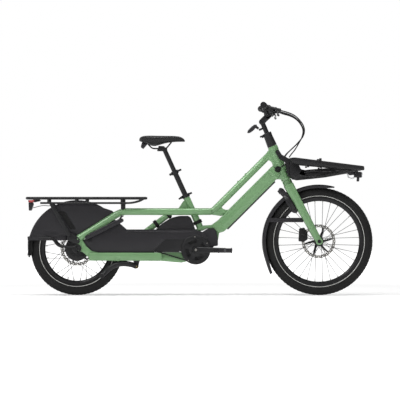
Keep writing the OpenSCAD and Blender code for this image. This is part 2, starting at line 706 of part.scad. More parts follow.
module right_brake_lever() color(black) placed() mirror([0, 1, 0]) brake_lever();
module left_brake_lever() color(black) placed() brake_lever();

module display() color(black) placed() {
    slab(-26, 26) capsule([1020, 968], [1066, 1008], 8);
    slab(-4, 4) capsule([1068, 1004], [1078, 996], 5);
}

// Hoses and leads ---------------------------------------------------------------------------------
hose_sides = 8;
function hose_ring(p, q, r, c) = let (t = unit(q - p), u = unit(cross(t, [0.1, 1, 0.05])), v = cross(t, u))
    [for (i = [0:hose_sides - 1]) c + r * (cos(i * 45) * u + sin(i * 45) * v)];
module hose(p, r) {
    m = len(p);
    rings = [for (i = [0:m - 1]) each hose_ring(p[max(i - 1, 0)], p[min(i + 1, m - 1)], r, p[i])];
    polyhedron(rings, concat([[for (j = [0:hose_sides - 1]) j]],
        [for (i = [0:m - 2], j = [0:hose_sides - 1]) let (k = (j + 1) % hose_sides)
            [i * hose_sides + j, (i + 1) * hose_sides + j, (i + 1) * hose_sides + k, i * hose_sides + k]],
        [[for (j = [hose_sides - 1:-1:0]) (m - 1) * hose_sides + j]]));
}
hose_right = [[1206, -160, 1094], [1230, -140, 1086], [1262, -110, 1077], [1291, -80, 1064],
    [1320, -50, 1040], [1344, -25, 1010], [1352, -8, 980], [1344, 4, 945], [1316, 14, 908],
    [1280, 22, 872], [1252, 26, 845], [1238, 28, 826]];
hose_left = [[1206, 160, 1094], [1230, 140, 1085], [1262, 110, 1075], [1291, 80, 1060],
    [1318, 55, 1035], [1340, 40, 1004], [1346, 30, 975], [1340, 24, 940], [1318, 20, 905],
    [1292, 18, 865], [1270, 17, 838], [1260, 16, 822]];
module hoses() color(black) placed() {
    hose(hose_right, 2.8);
    hose(hose_left, 2.8);
}

// Seat --------------------------------------------------------------------------------------------
outer_len = 255;
outer_foot = -90;
inner_bore_r = inner_post_r + run_gap;
module outer_post() color(black) placed() seat_frame() difference() {
    union() {
        translate([0, 0, outer_foot]) cylinder(h = outer_len, r = outer_post_r);
        translate([0, 0, 148]) cylinder(h = 22, r = 21);
        translate([-34, -7, 152]) cube([18, 14, 14]);
        translate([14, -6, 154]) cube([28, 12, 9]);
    }
    translate([0, 0, outer_foot - 1]) cylinder(h = outer_len + 30, r = inner_bore_r);
}
module inner_post() color(black) placed() {
    seat_frame() translate([0, 0, 70]) cylinder(h = 233, r = inner_post_r);
    slab(-17, 17) polygon(rounded([[476, 856], [478, 868], [536, 874], [536, 856]], 3));
    slab(-26, 26) polygon(rounded([[484, 876.5], [484, 888], [520, 886], [520, 876.5]], 3));
    pin_y([502, 870], -5, 5, 5);
}
saddle_rail_y = 21;
module saddle() color(black) placed() {
    both_sides() pipe([[424, saddle_rail_y + 8, 897], [446, saddle_rail_y, 872.5], [528, saddle_rail_y, 872.5],
        [566, 12, 912]], 3.5);
    hull($fn = 24) {
        translate([396, -52, 922]) sphere(r = 22);
        translate([396, 52, 922]) sphere(r = 22);
        translate([450, -58, 918]) sphere(r = 24);
        translate([450, 58, 918]) sphere(r = 24);
        translate([520, 0, 924]) sphere(r = 22);
        translate([622, 0, 930]) sphere(r = 17);
    }
    slab(-22, 22) polygon(rounded([[382, 872], [380, 906], [412, 906], [402, 872]], 4));
}

front_triangle();
seat_tube();
main_tubes();
chainstays();
frame_yoke();
motor_unit();
frame_box();
chain_case();
chain();
rear_rack();
rack_stays();
rear_fender();
tail_light();
stand_bracket();
carrier_bracket();
front_carrier();
headset_cups();
rear_caliper();
rear_axle();
seat_collar();
chain_idler();
battery_pack();
right_footboard();
left_footboard();
centre_stand();
headlight();
rear_tyre();
rear_rim();
rear_spokes();
rear_hub();
rear_sprocket();
chainring();
crank_arms();
right_pedal();
left_pedal();
fork();
front_fender();
front_caliper();
front_axle();
ring_lock();
lock_bolt();
steerer_collar();
front_tyre();
front_rim();
front_spokes();
front_hub();
collar_lever();
handlebar_post();
stem();
handlebar();
grips();
lever_clamps();
right_brake_lever();
left_brake_lever();
display();
hoses();
seat_lever();
outer_post();
inner_post();
saddle();
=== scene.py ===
"""Longtail cargo bicycle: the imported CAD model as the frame, with pieces, materials, light and camera."""

import json
import math

import bmesh
import bpy
from mathutils import Matrix, Vector


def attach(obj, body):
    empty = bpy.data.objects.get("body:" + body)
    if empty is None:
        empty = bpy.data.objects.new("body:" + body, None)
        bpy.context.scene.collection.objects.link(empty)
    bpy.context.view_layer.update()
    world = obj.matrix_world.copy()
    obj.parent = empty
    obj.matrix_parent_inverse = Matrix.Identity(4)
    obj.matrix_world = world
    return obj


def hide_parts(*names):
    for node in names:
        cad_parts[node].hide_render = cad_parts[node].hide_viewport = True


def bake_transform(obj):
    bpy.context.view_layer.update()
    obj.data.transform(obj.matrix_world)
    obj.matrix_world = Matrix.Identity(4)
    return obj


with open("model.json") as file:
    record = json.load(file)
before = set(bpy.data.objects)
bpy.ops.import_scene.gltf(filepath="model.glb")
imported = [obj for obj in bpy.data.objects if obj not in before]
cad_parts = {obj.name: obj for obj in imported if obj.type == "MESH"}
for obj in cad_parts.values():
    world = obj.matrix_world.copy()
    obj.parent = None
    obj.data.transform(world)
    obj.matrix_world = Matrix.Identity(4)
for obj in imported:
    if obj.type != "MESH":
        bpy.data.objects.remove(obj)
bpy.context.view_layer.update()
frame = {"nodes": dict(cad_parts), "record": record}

# Places are in millimetres from the rear axle, with z above the ground ----------------------------
AXLE_X = -727
REAR = (0, 275)
FRONT = (1438, 320)
CRANK = (706, 271)
IDLER = (440, 249.4)
STEER_FOOT = (1245, 684)
STEER_TILT = math.radians(22.6)
SEAT_FOOT = (648, 585)
SEAT_TILT = math.radians(24.6)


def place(x, y, z):
    return Vector(((x + AXLE_X) / 1000, y / 1000, z / 1000))


def tilted(foot, tilt):
    """A function that turns a point on a leaning axis, which starts at foot, into millimetres."""
    c, s = math.cos(tilt), math.sin(tilt)
    return lambda x, y, z: (foot[0] + x * c - z * s, y, foot[1] + x * s + z * c)


steer = tilted(STEER_FOOT, STEER_TILT)
seat = tilted(SEAT_FOOT, SEAT_TILT)
STEER_FRAME = (Matrix.Translation(place(STEER_FOOT[0], 0, STEER_FOOT[1]))
               @ Matrix.Rotation(-STEER_TILT, 4, "Y"))


def polar(centre, r, degrees):
    a = math.radians(degrees)
    return (centre[0] + r * math.cos(a), centre[1] + r * math.sin(a))


# Materials ----------------------------------------------------------------------------------------
def material(name, colour, rough, metal=0.0, grain=900, bump=0.15, tone=0.12, coat=0.0,
             stretch=(1, 1, 1), cells=False, spread=0.08, shine=0.5):
    """Colour that varies a little, roughness in patches, and a fine grain in relief."""
    m = bpy.data.materials.new(name)
    m.use_nodes = True
    tree = m.node_tree
    link = tree.links.new
    add = tree.nodes.new
    out = tree.nodes["Principled BSDF"]
    out.inputs["Metallic"].default_value = metal
    out.inputs["Coat Weight"].default_value = coat
    out.inputs["Specular IOR Level"].default_value = shine
    out.inputs["Coat Roughness"].default_value = 0.12
    where = add("ShaderNodeTexCoord")
    turn = add("ShaderNodeMapping")
    turn.inputs["Scale"].default_value = stretch
    link(where.outputs["Object"], turn.inputs["Vector"])
    fine = add("ShaderNodeTexVoronoi" if cells else "ShaderNodeTexNoise")
    fine.inputs["Scale"].default_value = grain
    link(turn.outputs["Vector"], fine.inputs["Vector"])
    relief = add("ShaderNodeBump")
    relief.inputs["Strength"].default_value = bump
    relief.inputs["Distance"].default_value = 0.0006
    link(fine.outputs[0], relief.inputs["Height"])
    link(relief.outputs["Normal"], out.inputs["Normal"])
    patch = add("ShaderNodeTexNoise")
    patch.inputs["Scale"].default_value = 9
    patch.inputs["Detail"].default_value = 6
    link(turn.outputs["Vector"], patch.inputs["Vector"])
    dull = add("ShaderNodeMapRange")
    dull.inputs["To Min"].default_value = max(0.03, rough - spread)
    dull.inputs["To Max"].default_value = rough + spread
    link(patch.outputs[0], dull.inputs["Value"])
    link(dull.outputs["Result"], out.inputs["Roughness"])
    ramp = add("ShaderNodeValToRGB")
    ramp.color_ramp.elements[0].position = 0.3
    ramp.color_ramp.elements[1].position = 0.7
    ramp.color_ramp.elements[0].color = (*[c * (1 - tone) for c in colour], 1)
    ramp.color_ramp.elements[1].color = (*[min(1, c * (1 + tone)) for c in colour], 1)
    link(patch.outputs[0], ramp.inputs["Fac"])
    link(ramp.outputs["Color"], out.inputs["Base Color"])
    return m


GREEN = material("frame_paint", (0.158, 0.314, 0.139), 0.33, metal=0.1, grain=1400, bump=0.08, tone=0.05,
                 coat=0.5)
SATIN = material("satin_black", (0.008, 0.008, 0.009), 0.36, metal=0.0, shine=0.35, grain=1600, bump=0.12,
                 spread=0.07)
ALLOY = material("black_alloy", (0.012, 0.012, 0.013), 0.3, metal=0.3, shine=0.4, grain=1200, bump=0.08)
PLASTIC = material("moulded_black", (0.0085, 0.0075, 0.0105), 0.38, shine=0.45, grain=1100, bump=0.35,
                   cells=True)
RUBBER = material("tyre_rubber", (0.007, 0.007, 0.007), 0.72, shine=0.3, grain=700, bump=0.5, tone=0.3)
GRIP = material("grip_rubber", (0.007, 0.007, 0.0075), 0.6, shine=0.3, grain=900, bump=0.5, cells=True)
STEEL = material("brushed_steel", (0.3, 0.29, 0.27), 0.32, metal=1.0, grain=260, bump=0.08, stretch=(1, 6, 1))
GREY = material("light_grey_alloy", (0.12, 0.12, 0.125), 0.42, metal=0.5, grain=1000, bump=0.1)
STRIPE = material("reflective_band", (0.5, 0.5, 0.48), 0.35, grain=1500, bump=0.2, cells=True)
LEATHER = material("saddle_cover", (0.009, 0.009, 0.0095), 0.46, shine=0.35, grain=650, bump=0.6, cells=True,
                   tone=0.2)
LENS = material("red_lens", (0.42, 0.012, 0.012), 0.14, grain=300, bump=0.4, coat=0.8, cells=True)
# Light grey glass: the headlight's lens and reflectors, and also a painted highlight along the display's
# upper edge.
LAMP_GLASS_AND_HIGHLIGHT = material("lamp_glass_and_painted_highlight", (0.75, 0.76, 0.78), 0.1, metal=0.3, grain=260, bump=0.5, coat=0.8, cells=True)

BRASS = material("brass_bolt", (0.42, 0.31, 0.12), 0.34, metal=0.9, grain=600, bump=0.2)

LOOK = {
    "frame_paint": GREEN, "satin_metal": SATIN, "moulded_plastic": PLASTIC, "lens_red": LENS,
    "tyre_rubber": RUBBER, "rim_alloy": ALLOY, "hub_alloy": ALLOY, "steel": STEEL,
    "grip_rubber": GRIP, "saddle_cover": LEATHER,
}
for part in frame["record"]["subparts"]:
    node = frame["nodes"][part["node"]]
    node.data.materials.clear()
    dark = part["node"] in ("front_axle", "rear_axle", "rear_sprocket", "chain_idler")
    node.data.materials.append(ALLOY if dark else LOOK[part["material_slot"]])


# Mesh work ----------------------------------------------------------------------------------------
def piece(name, bm, look, body, slot, *stands_for, sharp=32):
    """Closes a mesh as one piece: smooth but for its real edges, with its material and body. The slot
    argument is not used.
    """
    bmesh.ops.remove_doubles(bm, verts=bm.verts, dist=2e-6)
    bmesh.ops.recalc_face_normals(bm, faces=bm.faces)
    for face in bm.faces:
        face.smooth = True
    for edge in bm.edges:
        if len(edge.link_faces) == 2 and edge.calc_face_angle(0) > math.radians(sharp):
            edge.smooth = False
    mesh = bpy.data.meshes.new(name)
    bm.to_mesh(mesh)
    bm.free()
    obj = bpy.data.objects.new(name, mesh)
    bpy.context.scene.collection.objects.link(obj)
    mesh.materials.append(look)
    if body:
        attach(obj, body)
    if stands_for:
        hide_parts(*stands_for)
    return obj


def skin(bm, rings, closed_ring=True, closed_path=False, caps=True):
    """Faces between rings of points, which are in millimetres."""
    rows = [[bm.verts.new(place(*p)) for p in ring] for ring in rings]
    n = len(rows[0])
    for i in range(len(rows) if closed_path else len(rows) - 1):
        a, b = rows[i], rows[(i + 1) % len(rows)]
        for j in range(n if closed_ring else n - 1):
            k = (j + 1) % n
            bm.faces.new((a[j], a[k], b[k], b[j]))
    if caps and not closed_path:
        bm.faces.new(rows[0][::-1])
        bm.faces.new(rows[-1])
    return rows


def steerer_ring(bm, profile, sides):
    """A closed ring round the steering axis, from a profile of (height, radius)."""
    turns = [2 * math.pi * k / sides for k in range(sides)]
    rows = [[steer(r * math.cos(t), r * math.sin(t), up) for t in turns] for up, r in profile]
    skin(bm, rows + [rows[0]], caps=False)


def span(side, near, far):
    """The two distances across on one side, in rising order."""
    return sorted((side * near, side * far))


def lathe(bm, profile, centre, steps=96, closed=True, sweep=360, start=0):
    """Turns a profile of (radius, y) about a cross axis at centre."""
    whole = sweep == 360
    rings = []
    for i in range(steps if whole else steps + 1):
        a = math.radians(start + sweep * i / steps)
        rings.append([(centre[0] + r * math.cos(a), y, centre[1] + r * math.sin(a)) for r, y in profile])
    skin(bm, rings, closed_ring=closed, closed_path=whole)


def sweep(bm, points, radius, sides=16, caps=True):
    """A round tube along points. radius is one number, or one for each point."""
    pts = [Vector(p) for p in points]
    radii = radius if hasattr(radius, "__len__") else [radius] * len(pts)
    across = None
    rings = []
    for i, p in enumerate(pts):
        along = (pts[min(i + 1, len(pts) - 1)] - pts[max(i - 1, 0)]).normalized()
        if across is None:
            across = along.cross(Vector((0.13, 0.31, 0.94))).normalized()
        across = (across - along * across.dot(along)).normalized()
        other = along.cross(across)
        rings.append([p + radii[i] * (math.cos(t) * across + math.sin(t) * other)
                      for t in (2 * math.pi * k / sides for k in range(sides))])
    skin(bm, rings, caps=caps)


def bent(points, bend=40, steps=8):
    """The points with each corner rounded, starting at most bend before it."""
    pts = [Vector(p) for p in points]
    path = [pts[0]]
    for a, b, c in zip(pts, pts[1:], pts[2:]):
        d = min(bend, (b - a).length * 0.48, (c - b).length * 0.48)
        p, q = b + (a - b).normalized() * d, b + (c - b).normalized() * d
        for i in range(steps + 1):
            t = i / steps
            path.append((1 - t) ** 2 * p + 2 * t * (1 - t) * b + t ** 2 * q)
    return path + [pts[-1]]


def curve(points, steps=8):
    """A smooth curve through the points."""
    pts = [Vector(p) for p in points]
    pts = [2 * pts[0] - pts[1]] + pts + [2 * pts[-1] - pts[-2]]
    path = []
    for a, b, c, d in zip(pts, pts[1:], pts[2:], pts[3:]):
        for i in range(steps):
            t = i / steps
            path.append(0.5 * (2 * b + (c - a) * t + (2 * a - 5 * b + 4 * c - d) * t ** 2
                               + (3 * b - a - 3 * c + d) * t ** 3))
    return path + [pts[-2]]


def ring(centre, r, n=64, wave=0, waves=12):
    return [polar(centre, r + wave * math.cos(math.radians(360 * i / n) * waves), 360 * i / n)
            for i in range(n)]


def oval(centre, r, degrees, half_angle, width, n=6):
    """A slot with round ends that follows a circle about centre."""
    out = []
    for side in (1, -1):
        for i in range(n + 1):
            out.append(polar(centre, r + side * width / 2,
                             degrees + side * (-half_angle + 2 * half_angle * i / n)))
    return out


def rounded(points, r, n=4):
    """The outline with round corners of about r."""
    out = []
    for i, b in enumerate(points):
        a, b, c = Vector(points[i - 1]), Vector(b), Vector(points[(i + 1) % len(points)])
        d = min(r, (a - b).length * 0.45, (c - b).length * 0.45)
        p, q = b + (a - b).normalized() * d, b + (c - b).normalized() * d
        out += [tuple((1 - t) ** 2 * p + 2 * t * (1 - t) * b + t ** 2 * q)
                for t in (k / n for k in range(n + 1))]
    return out


def capsule(a, b, r, n=8):
    a, b = Vector(a), Vector(b)
    base = math.degrees(math.atan2(b[1] - a[1], b[0] - a[0]))
    return ([polar(a, r, base + 90 + 180 * i / n) for i in range(n + 1)]
            + [polar(b, r, base - 90 + 180 * i / n) for i in range(n + 1)])


def plate(bm, outlines, y0, y1, bevel=0.6, shape=None):
    """A flat plate in the side view, with holes where outlines lie inside each other."""
    data = bpy.data.curves.new("outline", "CURVE")
    data.dimensions = "2D"
    data.fill_mode = "BOTH"
    data.bevel_depth = bevel / 1000
    data.bevel_resolution = 1
    data.offset = -bevel / 1000
    data.extrude = max(1e-5, (y1 - y0) / 2000 - bevel / 1000)
    for points in outlines:
        line = data.splines.new("POLY")
        line.points.add(len(points) - 1)
        for k, p in enumerate(points):
            line.points[k].co = (p[0] / 1000, p[1] / 1000, 0, 1)
        line.use_cyclic_u = True
    holder = bpy.data.objects.new("outline", data)
    mesh = bpy.data.meshes.new_from_object(holder)
    stand = shape or Matrix.Translation((AXLE_X / 1000, (y0 + y1) / 2000,
                                         0)) @ Matrix.Rotation(math.pi / 2, 4, "X")
    mesh.transform(stand)
    bm.from_mesh(mesh)
    bpy.data.objects.remove(holder)
    bpy.data.curves.remove(data)
    bpy.data.meshes.remove(mesh)


def bolt(bm, p, axis, r=4, h=3):
    """A socket-head bolt whose head stands on p, along axis."""
    axis = Vector(axis).normalized()
    u = axis.orthogonal().normalized()
    v = axis.cross(u)
    steps = [(r, 0, 1), (r, h - 0.6, 1), (r - 0.6, h, 1), (r * 0.55, h, 0), (r * 0.5, h * 0.4, 0)]
    rings = []
    for size, up, round_ in steps:
        line = []
        for i in range(18):
            a = 2 * math.pi * i / 18
            hexagon = 1 if round_ else 0.92 / max(abs(math.cos(a - math.pi / 3 * k)) for k in range(3))
            line.append(Vector(p) + axis * up + size * hexagon * (math.cos(a) * u + math.sin(a) * v))
        rings.append(line)
    skin(bm, rings)


# Wheels -------------------------------------------------------------------------------------------
def tyre_profile(outer, width, bead):
    """Outer wall from bead to bead, with the inner wall behind it."""
    mid, half = outer - width / 2, width / 2 - 2.2
    edge = math.degrees(math.acos(max(-1, (bead + 8 - mid) / half)))
    out = []
    for i in range(41):
        a = math.radians(-edge + 2 * edge * i / 40)
        rib = 0.5 if 6 < abs(i - 20) < 19 and i % 3 == 0 else 0
        out.append((mid + (half + rib) * math.cos(a), (half + rib) * math.sin(a)))
    inner = [(mid + (r - mid) * 0.86 if r > bead + 10 else r, y * 0.86) for r, y in out]
    return out + inner[::-1]


def knob(bm, centre, outer, width, degrees, lean, size, height, skew=0.0):
    """One tread block, on the tyre's round crown at the angle lean from the middle."""
    mid, half = outer - width / 2, width / 2 - 2.6
    rows = []
    for up, shrink in ((0, 1.0), (height, 0.8)):
        line = []
        for u, v in ((-1, -1), (1, -1), (1, 1), (-1, 1)):
            a = math.radians(lean) + v * shrink * size[1] / 2 / half
            turn = math.radians(degrees) + (u * shrink * size[0] / 2 + skew * v * size[1] / 2) / outer
            r = mid + (half + up) * math.cos(a)
            y = (half + up) * math.sin(a)
            line.append((centre[0] + r * math.cos(turn), y, centre[1] + r * math.sin(turn)))
        rows.append(line)
    skin(bm, rows)


def tyre(name, centre, outer, width, bead, body, node, stripe_r):
    bm = bmesh.new()
    lathe(bm, tyre_profile(outer, width, bead), centre, 128)
    count = round(outer * 0.26)
    for i in range(count):
        a = 360 * i / count
        knob(bm, centre, outer, width, a, 0, (17, 11), 2.55)
        for side in (1, -1):
            knob(bm, centre, outer, width, a + 180 / count, side * 24, (15, 10), 2.5, side * 0.4)
            knob(bm, centre, outer, width, a, side * 45, (13, 9), 2.2)
            knob(bm, centre, outer, width, a + 180 / count, side * 62, (7, 7), 1.2)
    piece(name, bm, RUBBER, body, "tyre_rubber", node)
    bm = bmesh.new()
    mid, half = outer - width / 2, width / 2 - 2.2
    for side in (1, -1):
        spots = []
        for r in (stripe_r - 1.7, stripe_r + 1.7):
            y = side * math.sqrt(max(1, half ** 2 - (r - mid) ** 2))
            spots.append((r, y))
        (r0, y0), (r1, y1) = spots
        lathe(bm, [(r0, y0 - side * 0.8), (r0, y0 + side * 0.7), (r1, y1 + side * 0.7),
                   (r1, y1 - side * 0.8)],
              centre, 128)
    piece(name + "_bands", bm, STRIPE, body, "tyre_rubber")


def rim(name, centre, bead, half, body, node):
    bm = bmesh.new()
    lathe(bm, [(bead + 9, half), (bead + 7.5, half + 0.2), (bead, half), (bead - 7, half - 2.5),
               (bead - 14, half - 9), (bead - 14, 9 - half), (bead - 7, 2.5 - half), (bead, -half),
               (bead + 7.5, -half - 0.2), (bead + 9, -half), (bead + 8.6, 2 - half), (bead + 1, 3 - half),
               (bead - 3, 8 - half), (bead - 3, half - 8), (bead + 1, half - 3), (bead + 8.6, half - 2)],
          centre, 128)
    piece(name, bm, ALLOY, body, "rim_alloy", node)
    bm = bmesh.new()
    for i in range(32):
        side = 1 if i % 2 == 0 else -1
        a = (i + 0.5) * 360 / 32
        for r0, r1, size in ((bead - 26, bead - 13.8, 2.1), (bead - 15.4, bead - 13.4, 3.4)):
            p, q = polar(centre, r0, a), polar(centre, r1, a)
            sweep(bm, [(p[0], side * 3.6, p[1]), (q[0], side * 3, q[1])], size, 8)
    piece(name + "_nipples", bm, STEEL, body, "steel")


def rotor(name, centre, y, body):
    """Brake disc: a waved, drilled silver ring on a black six-armed carrier."""
    bm = bmesh.new()
    holes = [oval(centre, 94 - 5.2 * (k % 2), k * 7.5, 1.9, 3.4) for k in range(48)]
    plate(bm, [ring(centre, 100.4, 144, 1.0, 18), ring(centre, 83, 144, 0.8, 12)[::-1], *holes], y, y + 2,
          0.2)
    piece(name, bm, STEEL, body, "steel")
    bm = bmesh.new()
    for k in range(6):
        a = 60 * k
        outline = [polar(centre, 22, a - 20), polar(centre, 60, a + 2), polar(centre, 86, a + 8),
                   polar(centre, 86, a + 14), polar(centre, 58, a + 13), polar(centre, 22, a + 16)]
        plate(bm, [rounded(outline, 3)], y + 0.1, y + 1.9, 0.2)
        spot = polar(centre, 86.5, a + 11)
        bolt(bm, (spot[0], y + 1.2, spot[1]), (0, 1, 0), 3.2, 1.6)
    plate(bm, [ring(centre, 26, 48), ring(centre, 13, 32)[::-1]], y - 0.4, y + 2.4, 0.3)
    piece(name + "_carrier", bm, ALLOY, body, "hub_alloy")


tyre("rear_tyre_tread", REAR, 275, 72, 203, "rear_wheel", "rear_tyre", 222)
tyre("front_tyre_tread", FRONT, 320, 65, 253.5, "front_wheel", "front_tyre", 270)
rim("rear_rim_hoop", REAR, 203, 18.8, "rear_wheel", "rear_rim")
rim("front_rim_hoop", FRONT, 253.5, 16.8, "front_wheel", "front_rim")
rotor("rear_rotor", REAR, 46, "rear_wheel")
rotor("front_rotor", FRONT, 38, "front_wheel")

bm = bmesh.new()
lathe(bm, [(6.2, -40), (20, -40), (26, -37), (34, -36), (36, -30), (58, -29.5), (68, -28), (71, -26),
           (71, -22), (66, -20), (63, -14), (61, 0), (63, 14), (66, 20), (71, 22), (71, 26), (68, 28),
           (58, 29.5), (38, 32), (36, 42), (30, 44), (14, 44.5), (13, 60), (6.2, 61)], REAR, 96)
piece("rear_hub_shell", bm, ALLOY, "rear_wheel", "hub_alloy", "rear_hub")
bm = bmesh.new()
for k in range(16):
    for side in (1, -1):
        spot = polar(REAR, 66, k * 22.5 + 6)
        sweep(bm, [(spot[0], side * 26.5, spot[1]), (spot[0], side * 28.6, spot[1])], 2.0, 8)
for k in range(5):
    a = k * 72 + 20
    arc = [polar(REAR, 47, a + t) for t in range(0, 44, 6)]
    sweep(bm, [(x, -30.0, z) for x, z in arc], 1.3, 8)
piece("rear_hub_trim", bm, ALLOY, "rear_wheel", "hub_alloy")
bm = bmesh.new()
lathe(bm, [(6.2, -42), (12, -42), (15, -38), (16, -28), (27, -27), (29, -25.5), (29, -23.5), (27, -22),
           (17, -20), (14.5, -8), (14.5, 10), (17, 19), (27, 22), (29, 23.5), (29, 25.5), (27, 27),
           (20, 30), (20, 42), (15, 44), (6.2, 44)], FRONT, 64)
piece("front_hub_shell", bm, ALLOY, "front_wheel", "hub_alloy", "front_hub")


def spokes(name, centre, hub, hub_y, rim, body, node):
    """32 crossed spokes with hooked heads at the flange."""
    bm = bmesh.new()
    for i in range(32):
        side = 1 if i % 2 == 0 else -1
        lean = 38 if (i // 2) % 2 == 0 else -38
        a = (i + 0.5) * 360 / 32
        y = side * (hub_y + (2.6 if lean > 0 else -2.6))
        (x0, z0), (x1, z1) = polar(centre, hub, a + lean), polar(centre, rim, a)
        sweep(bm, [(x0, y, z0), (x1, side * 3, z1)], 1.45, 8)
        sweep(bm, [(x0, y - side * 4, z0), (x0, y + side * 1.5, z0)], 2.2, 8)
    piece(name, bm, ALLOY, body, "steel", node)


spokes("front_spokes_laced", FRONT, 24, 24, 240, "front_wheel", "front_spokes")
spokes("rear_spokes_laced", REAR, 66, 26, 189.5, "rear_wheel", "rear_spokes")


# Drive --------------------------------------------------------------------------------------------
CHAIN_Y = -50
PITCH = 12.7
RING_R = PITCH / 2 / math.sin(math.pi / 38)
SPROCKET_R = PITCH / 2 / math.sin(math.pi / 22)


def tangent(a, ra, b, rb, side):
    """The angle at both circles where a straight run touches them. A negative radius turns back."""
    dx, dz = b[0] - a[0], b[1] - a[1]
    return math.degrees(math.atan2(dz, dx) + side * math.acos((ra - rb) / math.hypot(dx, dz)))


def wrap(centre, r, start, end):
    n = max(4, int(abs(end - start) / 3))
    turn = 180 if r < 0 else 0
    return [polar(centre, abs(r), start + turn + (end - start) * i / n) for i in range(n + 1)]


def chain_path():
    top = tangent(CRANK, RING_R, REAR, SPROCKET_R, -1) % 360
    front = tangent(CRANK, RING_R, IDLER, -21, 1)
    back = tangent(IDLER, -21, REAR, SPROCKET_R, 1)
    front += 360 * round((top - 190 - front) / 360)
    back += 360 * round((front - back) / 360)
    return (wrap(CRANK, RING_R, top, front) + wrap(IDLER, -21, front, back)
            + wrap(REAR, SPROCKET_R, back, top - 360))


def spaced(path, pitch):
    """Points a pitch apart along a closed path, which is stretched a little to a whole even number."""
    pts = [Vector(p) for p in path] + [Vector(path[0])]
    steps = [(b - a).length for a, b in zip(pts, pts[1:])]
    count = 2 * round(sum(steps) / pitch / 2)
    out, gap, k, done = [], sum(steps) / count, 0, 0.0
    for i in range(count):
        while done + steps[k] < i * gap:
            done += steps[k]
            k += 1
        out.append(pts[k].lerp(pts[k + 1], (i * gap - done) / steps[k]))
    return out


pins = spaced(chain_path(), PITCH)
bm = bmesh.new()
for i, p in enumerate(pins):
    q = pins[(i + 1) % len(pins)]
    y = 2.4 if i % 2 else 3.3
    along = (q - p).normalized()
    across = Vector((-along[1], along[0]))
    outline = [p + across * 3.9, p.lerp(q, 0.5) + across * 2.7, q + across * 3.9, q + along * 3.6,
               q - across * 3.9, p.lerp(q, 0.5) - across * 2.7, p - across * 3.9, p - along * 3.6]
    for side in (1, -1):
        skin(bm, [[(v[0], CHAIN_Y + side * (y + t), v[1]) for v in outline] for t in (0, 0.8)])
    sweep(bm, [(p[0], CHAIN_Y - 2.3, p[1]), (p[0], CHAIN_Y + 2.3, p[1])], 3.7, 10)
    sweep(bm, [(p[0], CHAIN_Y - 4.3, p[1]), (p[0], CHAIN_Y + 4.3, p[1])], 1.7, 8)
piece("chain_links", bm, ALLOY, "frame", "steel", "chain")


def toothed(centre, r, teeth):
    out = []
    for i in range(teeth):
        for part, size in ((-0.5, -3.7), (-0.28, -2.4), (-0.1, 2.2), (0.1, 2.2), (0.28, -2.4)):
            out.append(polar(centre, r + size, (i + part) * 360 / teeth))
    return out


bm = bmesh.new()
plate(bm, [toothed(CRANK, RING_R, 38), ring(CRANK, 60)], CHAIN_Y - 1, CHAIN_Y + 1, 0.2)
for k in range(4):
    plate(bm, [capsule(polar(CRANK, 22, k * 90 + 40), polar(CRANK, 66, k * 90 + 50), 6)], CHAIN_Y - 4,
          CHAIN_Y - 1, 0.4)
lathe(bm, [(12.1, -53), (26, -53), (27, -49), (12.1, -47)], CRANK, 48)
piece("chainring_teeth", bm, ALLOY, "cranks", "moulded_plastic", "chainring")
bm = bmesh.new()
windows = [oval(CRANK, 51, k * 90 + 22, 29, 22) for k in range(4)]
plate(bm, [ring(CRANK, 87.4, 128), ring(CRANK, 13, 32), *windows], -70, -66.5, 1.0)
lathe(bm, [(70, -70.6), (71, -71.4), (84, -71.2), (86.5, -69.5), (86.5, -68), (70, -68)], CRANK, 128)
for k in range(4):
    spot = polar(CRANK, 66, k * 90 + 67)
    sweep(bm, [(spot[0], -66, spot[1]), (spot[0], -52, spot[1])], 5, 16)
piece("chain_guard", bm, SATIN, "cranks", "moulded_plastic")
bm = bmesh.new()
for x, z in ((700, 366), (677, 229), (764, 305)):
    away = Vector((x - CRANK[0], z - CRANK[1])).normalized() * 77
    bolt(bm, (CRANK[0] + away[0], -71.2, CRANK[1] + away[1]), (0, -1, 0), 3.4, 1.6)
bolt(bm, (CRANK[0], -83.5, CRANK[1]), (0, -1, 0), 7, 3)
bolt(bm, (CRANK[0], 83.5, CRANK[1]), (0, 1, 0), 7, 3)
piece("crank_bolts", bm, STEEL, "cranks", "steel")

bm = bmesh.new()
for side, front in ((-1, 1), (1, -1)):
    tip = (CRANK[0] + front * 172, CRANK[1] - front * 3)
    rows = []
    for t in range(13):
        f = t / 12
        x, z = CRANK[0] + (tip[0] - CRANK[0]) * f, CRANK[1] + (tip[1] - CRANK[1]) * f
        high = 17.6 - 3.6 * f
        y0, y1 = side * 71.8, side * (84.5 - 1.5 * math.sin(math.pi * f))
        rows.append([(x, y0, z - high + 3), (x, y0, z + high - 3), (x, y0 + side * 3, z + high),
                     (x, y1 - side * 4, z + high), (x, y1, z + high - 4), (x, y1, z - high + 4),
                     (x, y1 - side * 4, z - high), (x, y0 + side * 3, z - high)])
    skin(bm, rows)
    lathe(bm, [(12.2, side * 71.8), (17, side * 71.8), (18.8, side * 74), (18.8, side * 83),
               (17.5, side * 85.5), (9, side * 85.5), (8, side * 83.8), (0.5, side * 83.8), (0.5, side * 79)],
          CRANK, 48)
    lathe(bm, [(7.1, side * 72), (13.2, side * 72), (14.4, side * 74), (14.4, side * 82), (13, side * 84),
               (7.1, side * 84)],
          tip, 32)
sweep(bm, [(CRANK[0], -80, CRANK[1]), (CRANK[0], 80, CRANK[1])], 11.9, 32)
piece("crank_arms_shaped", bm, SATIN, "cranks", "satin_metal", "crank_arms")


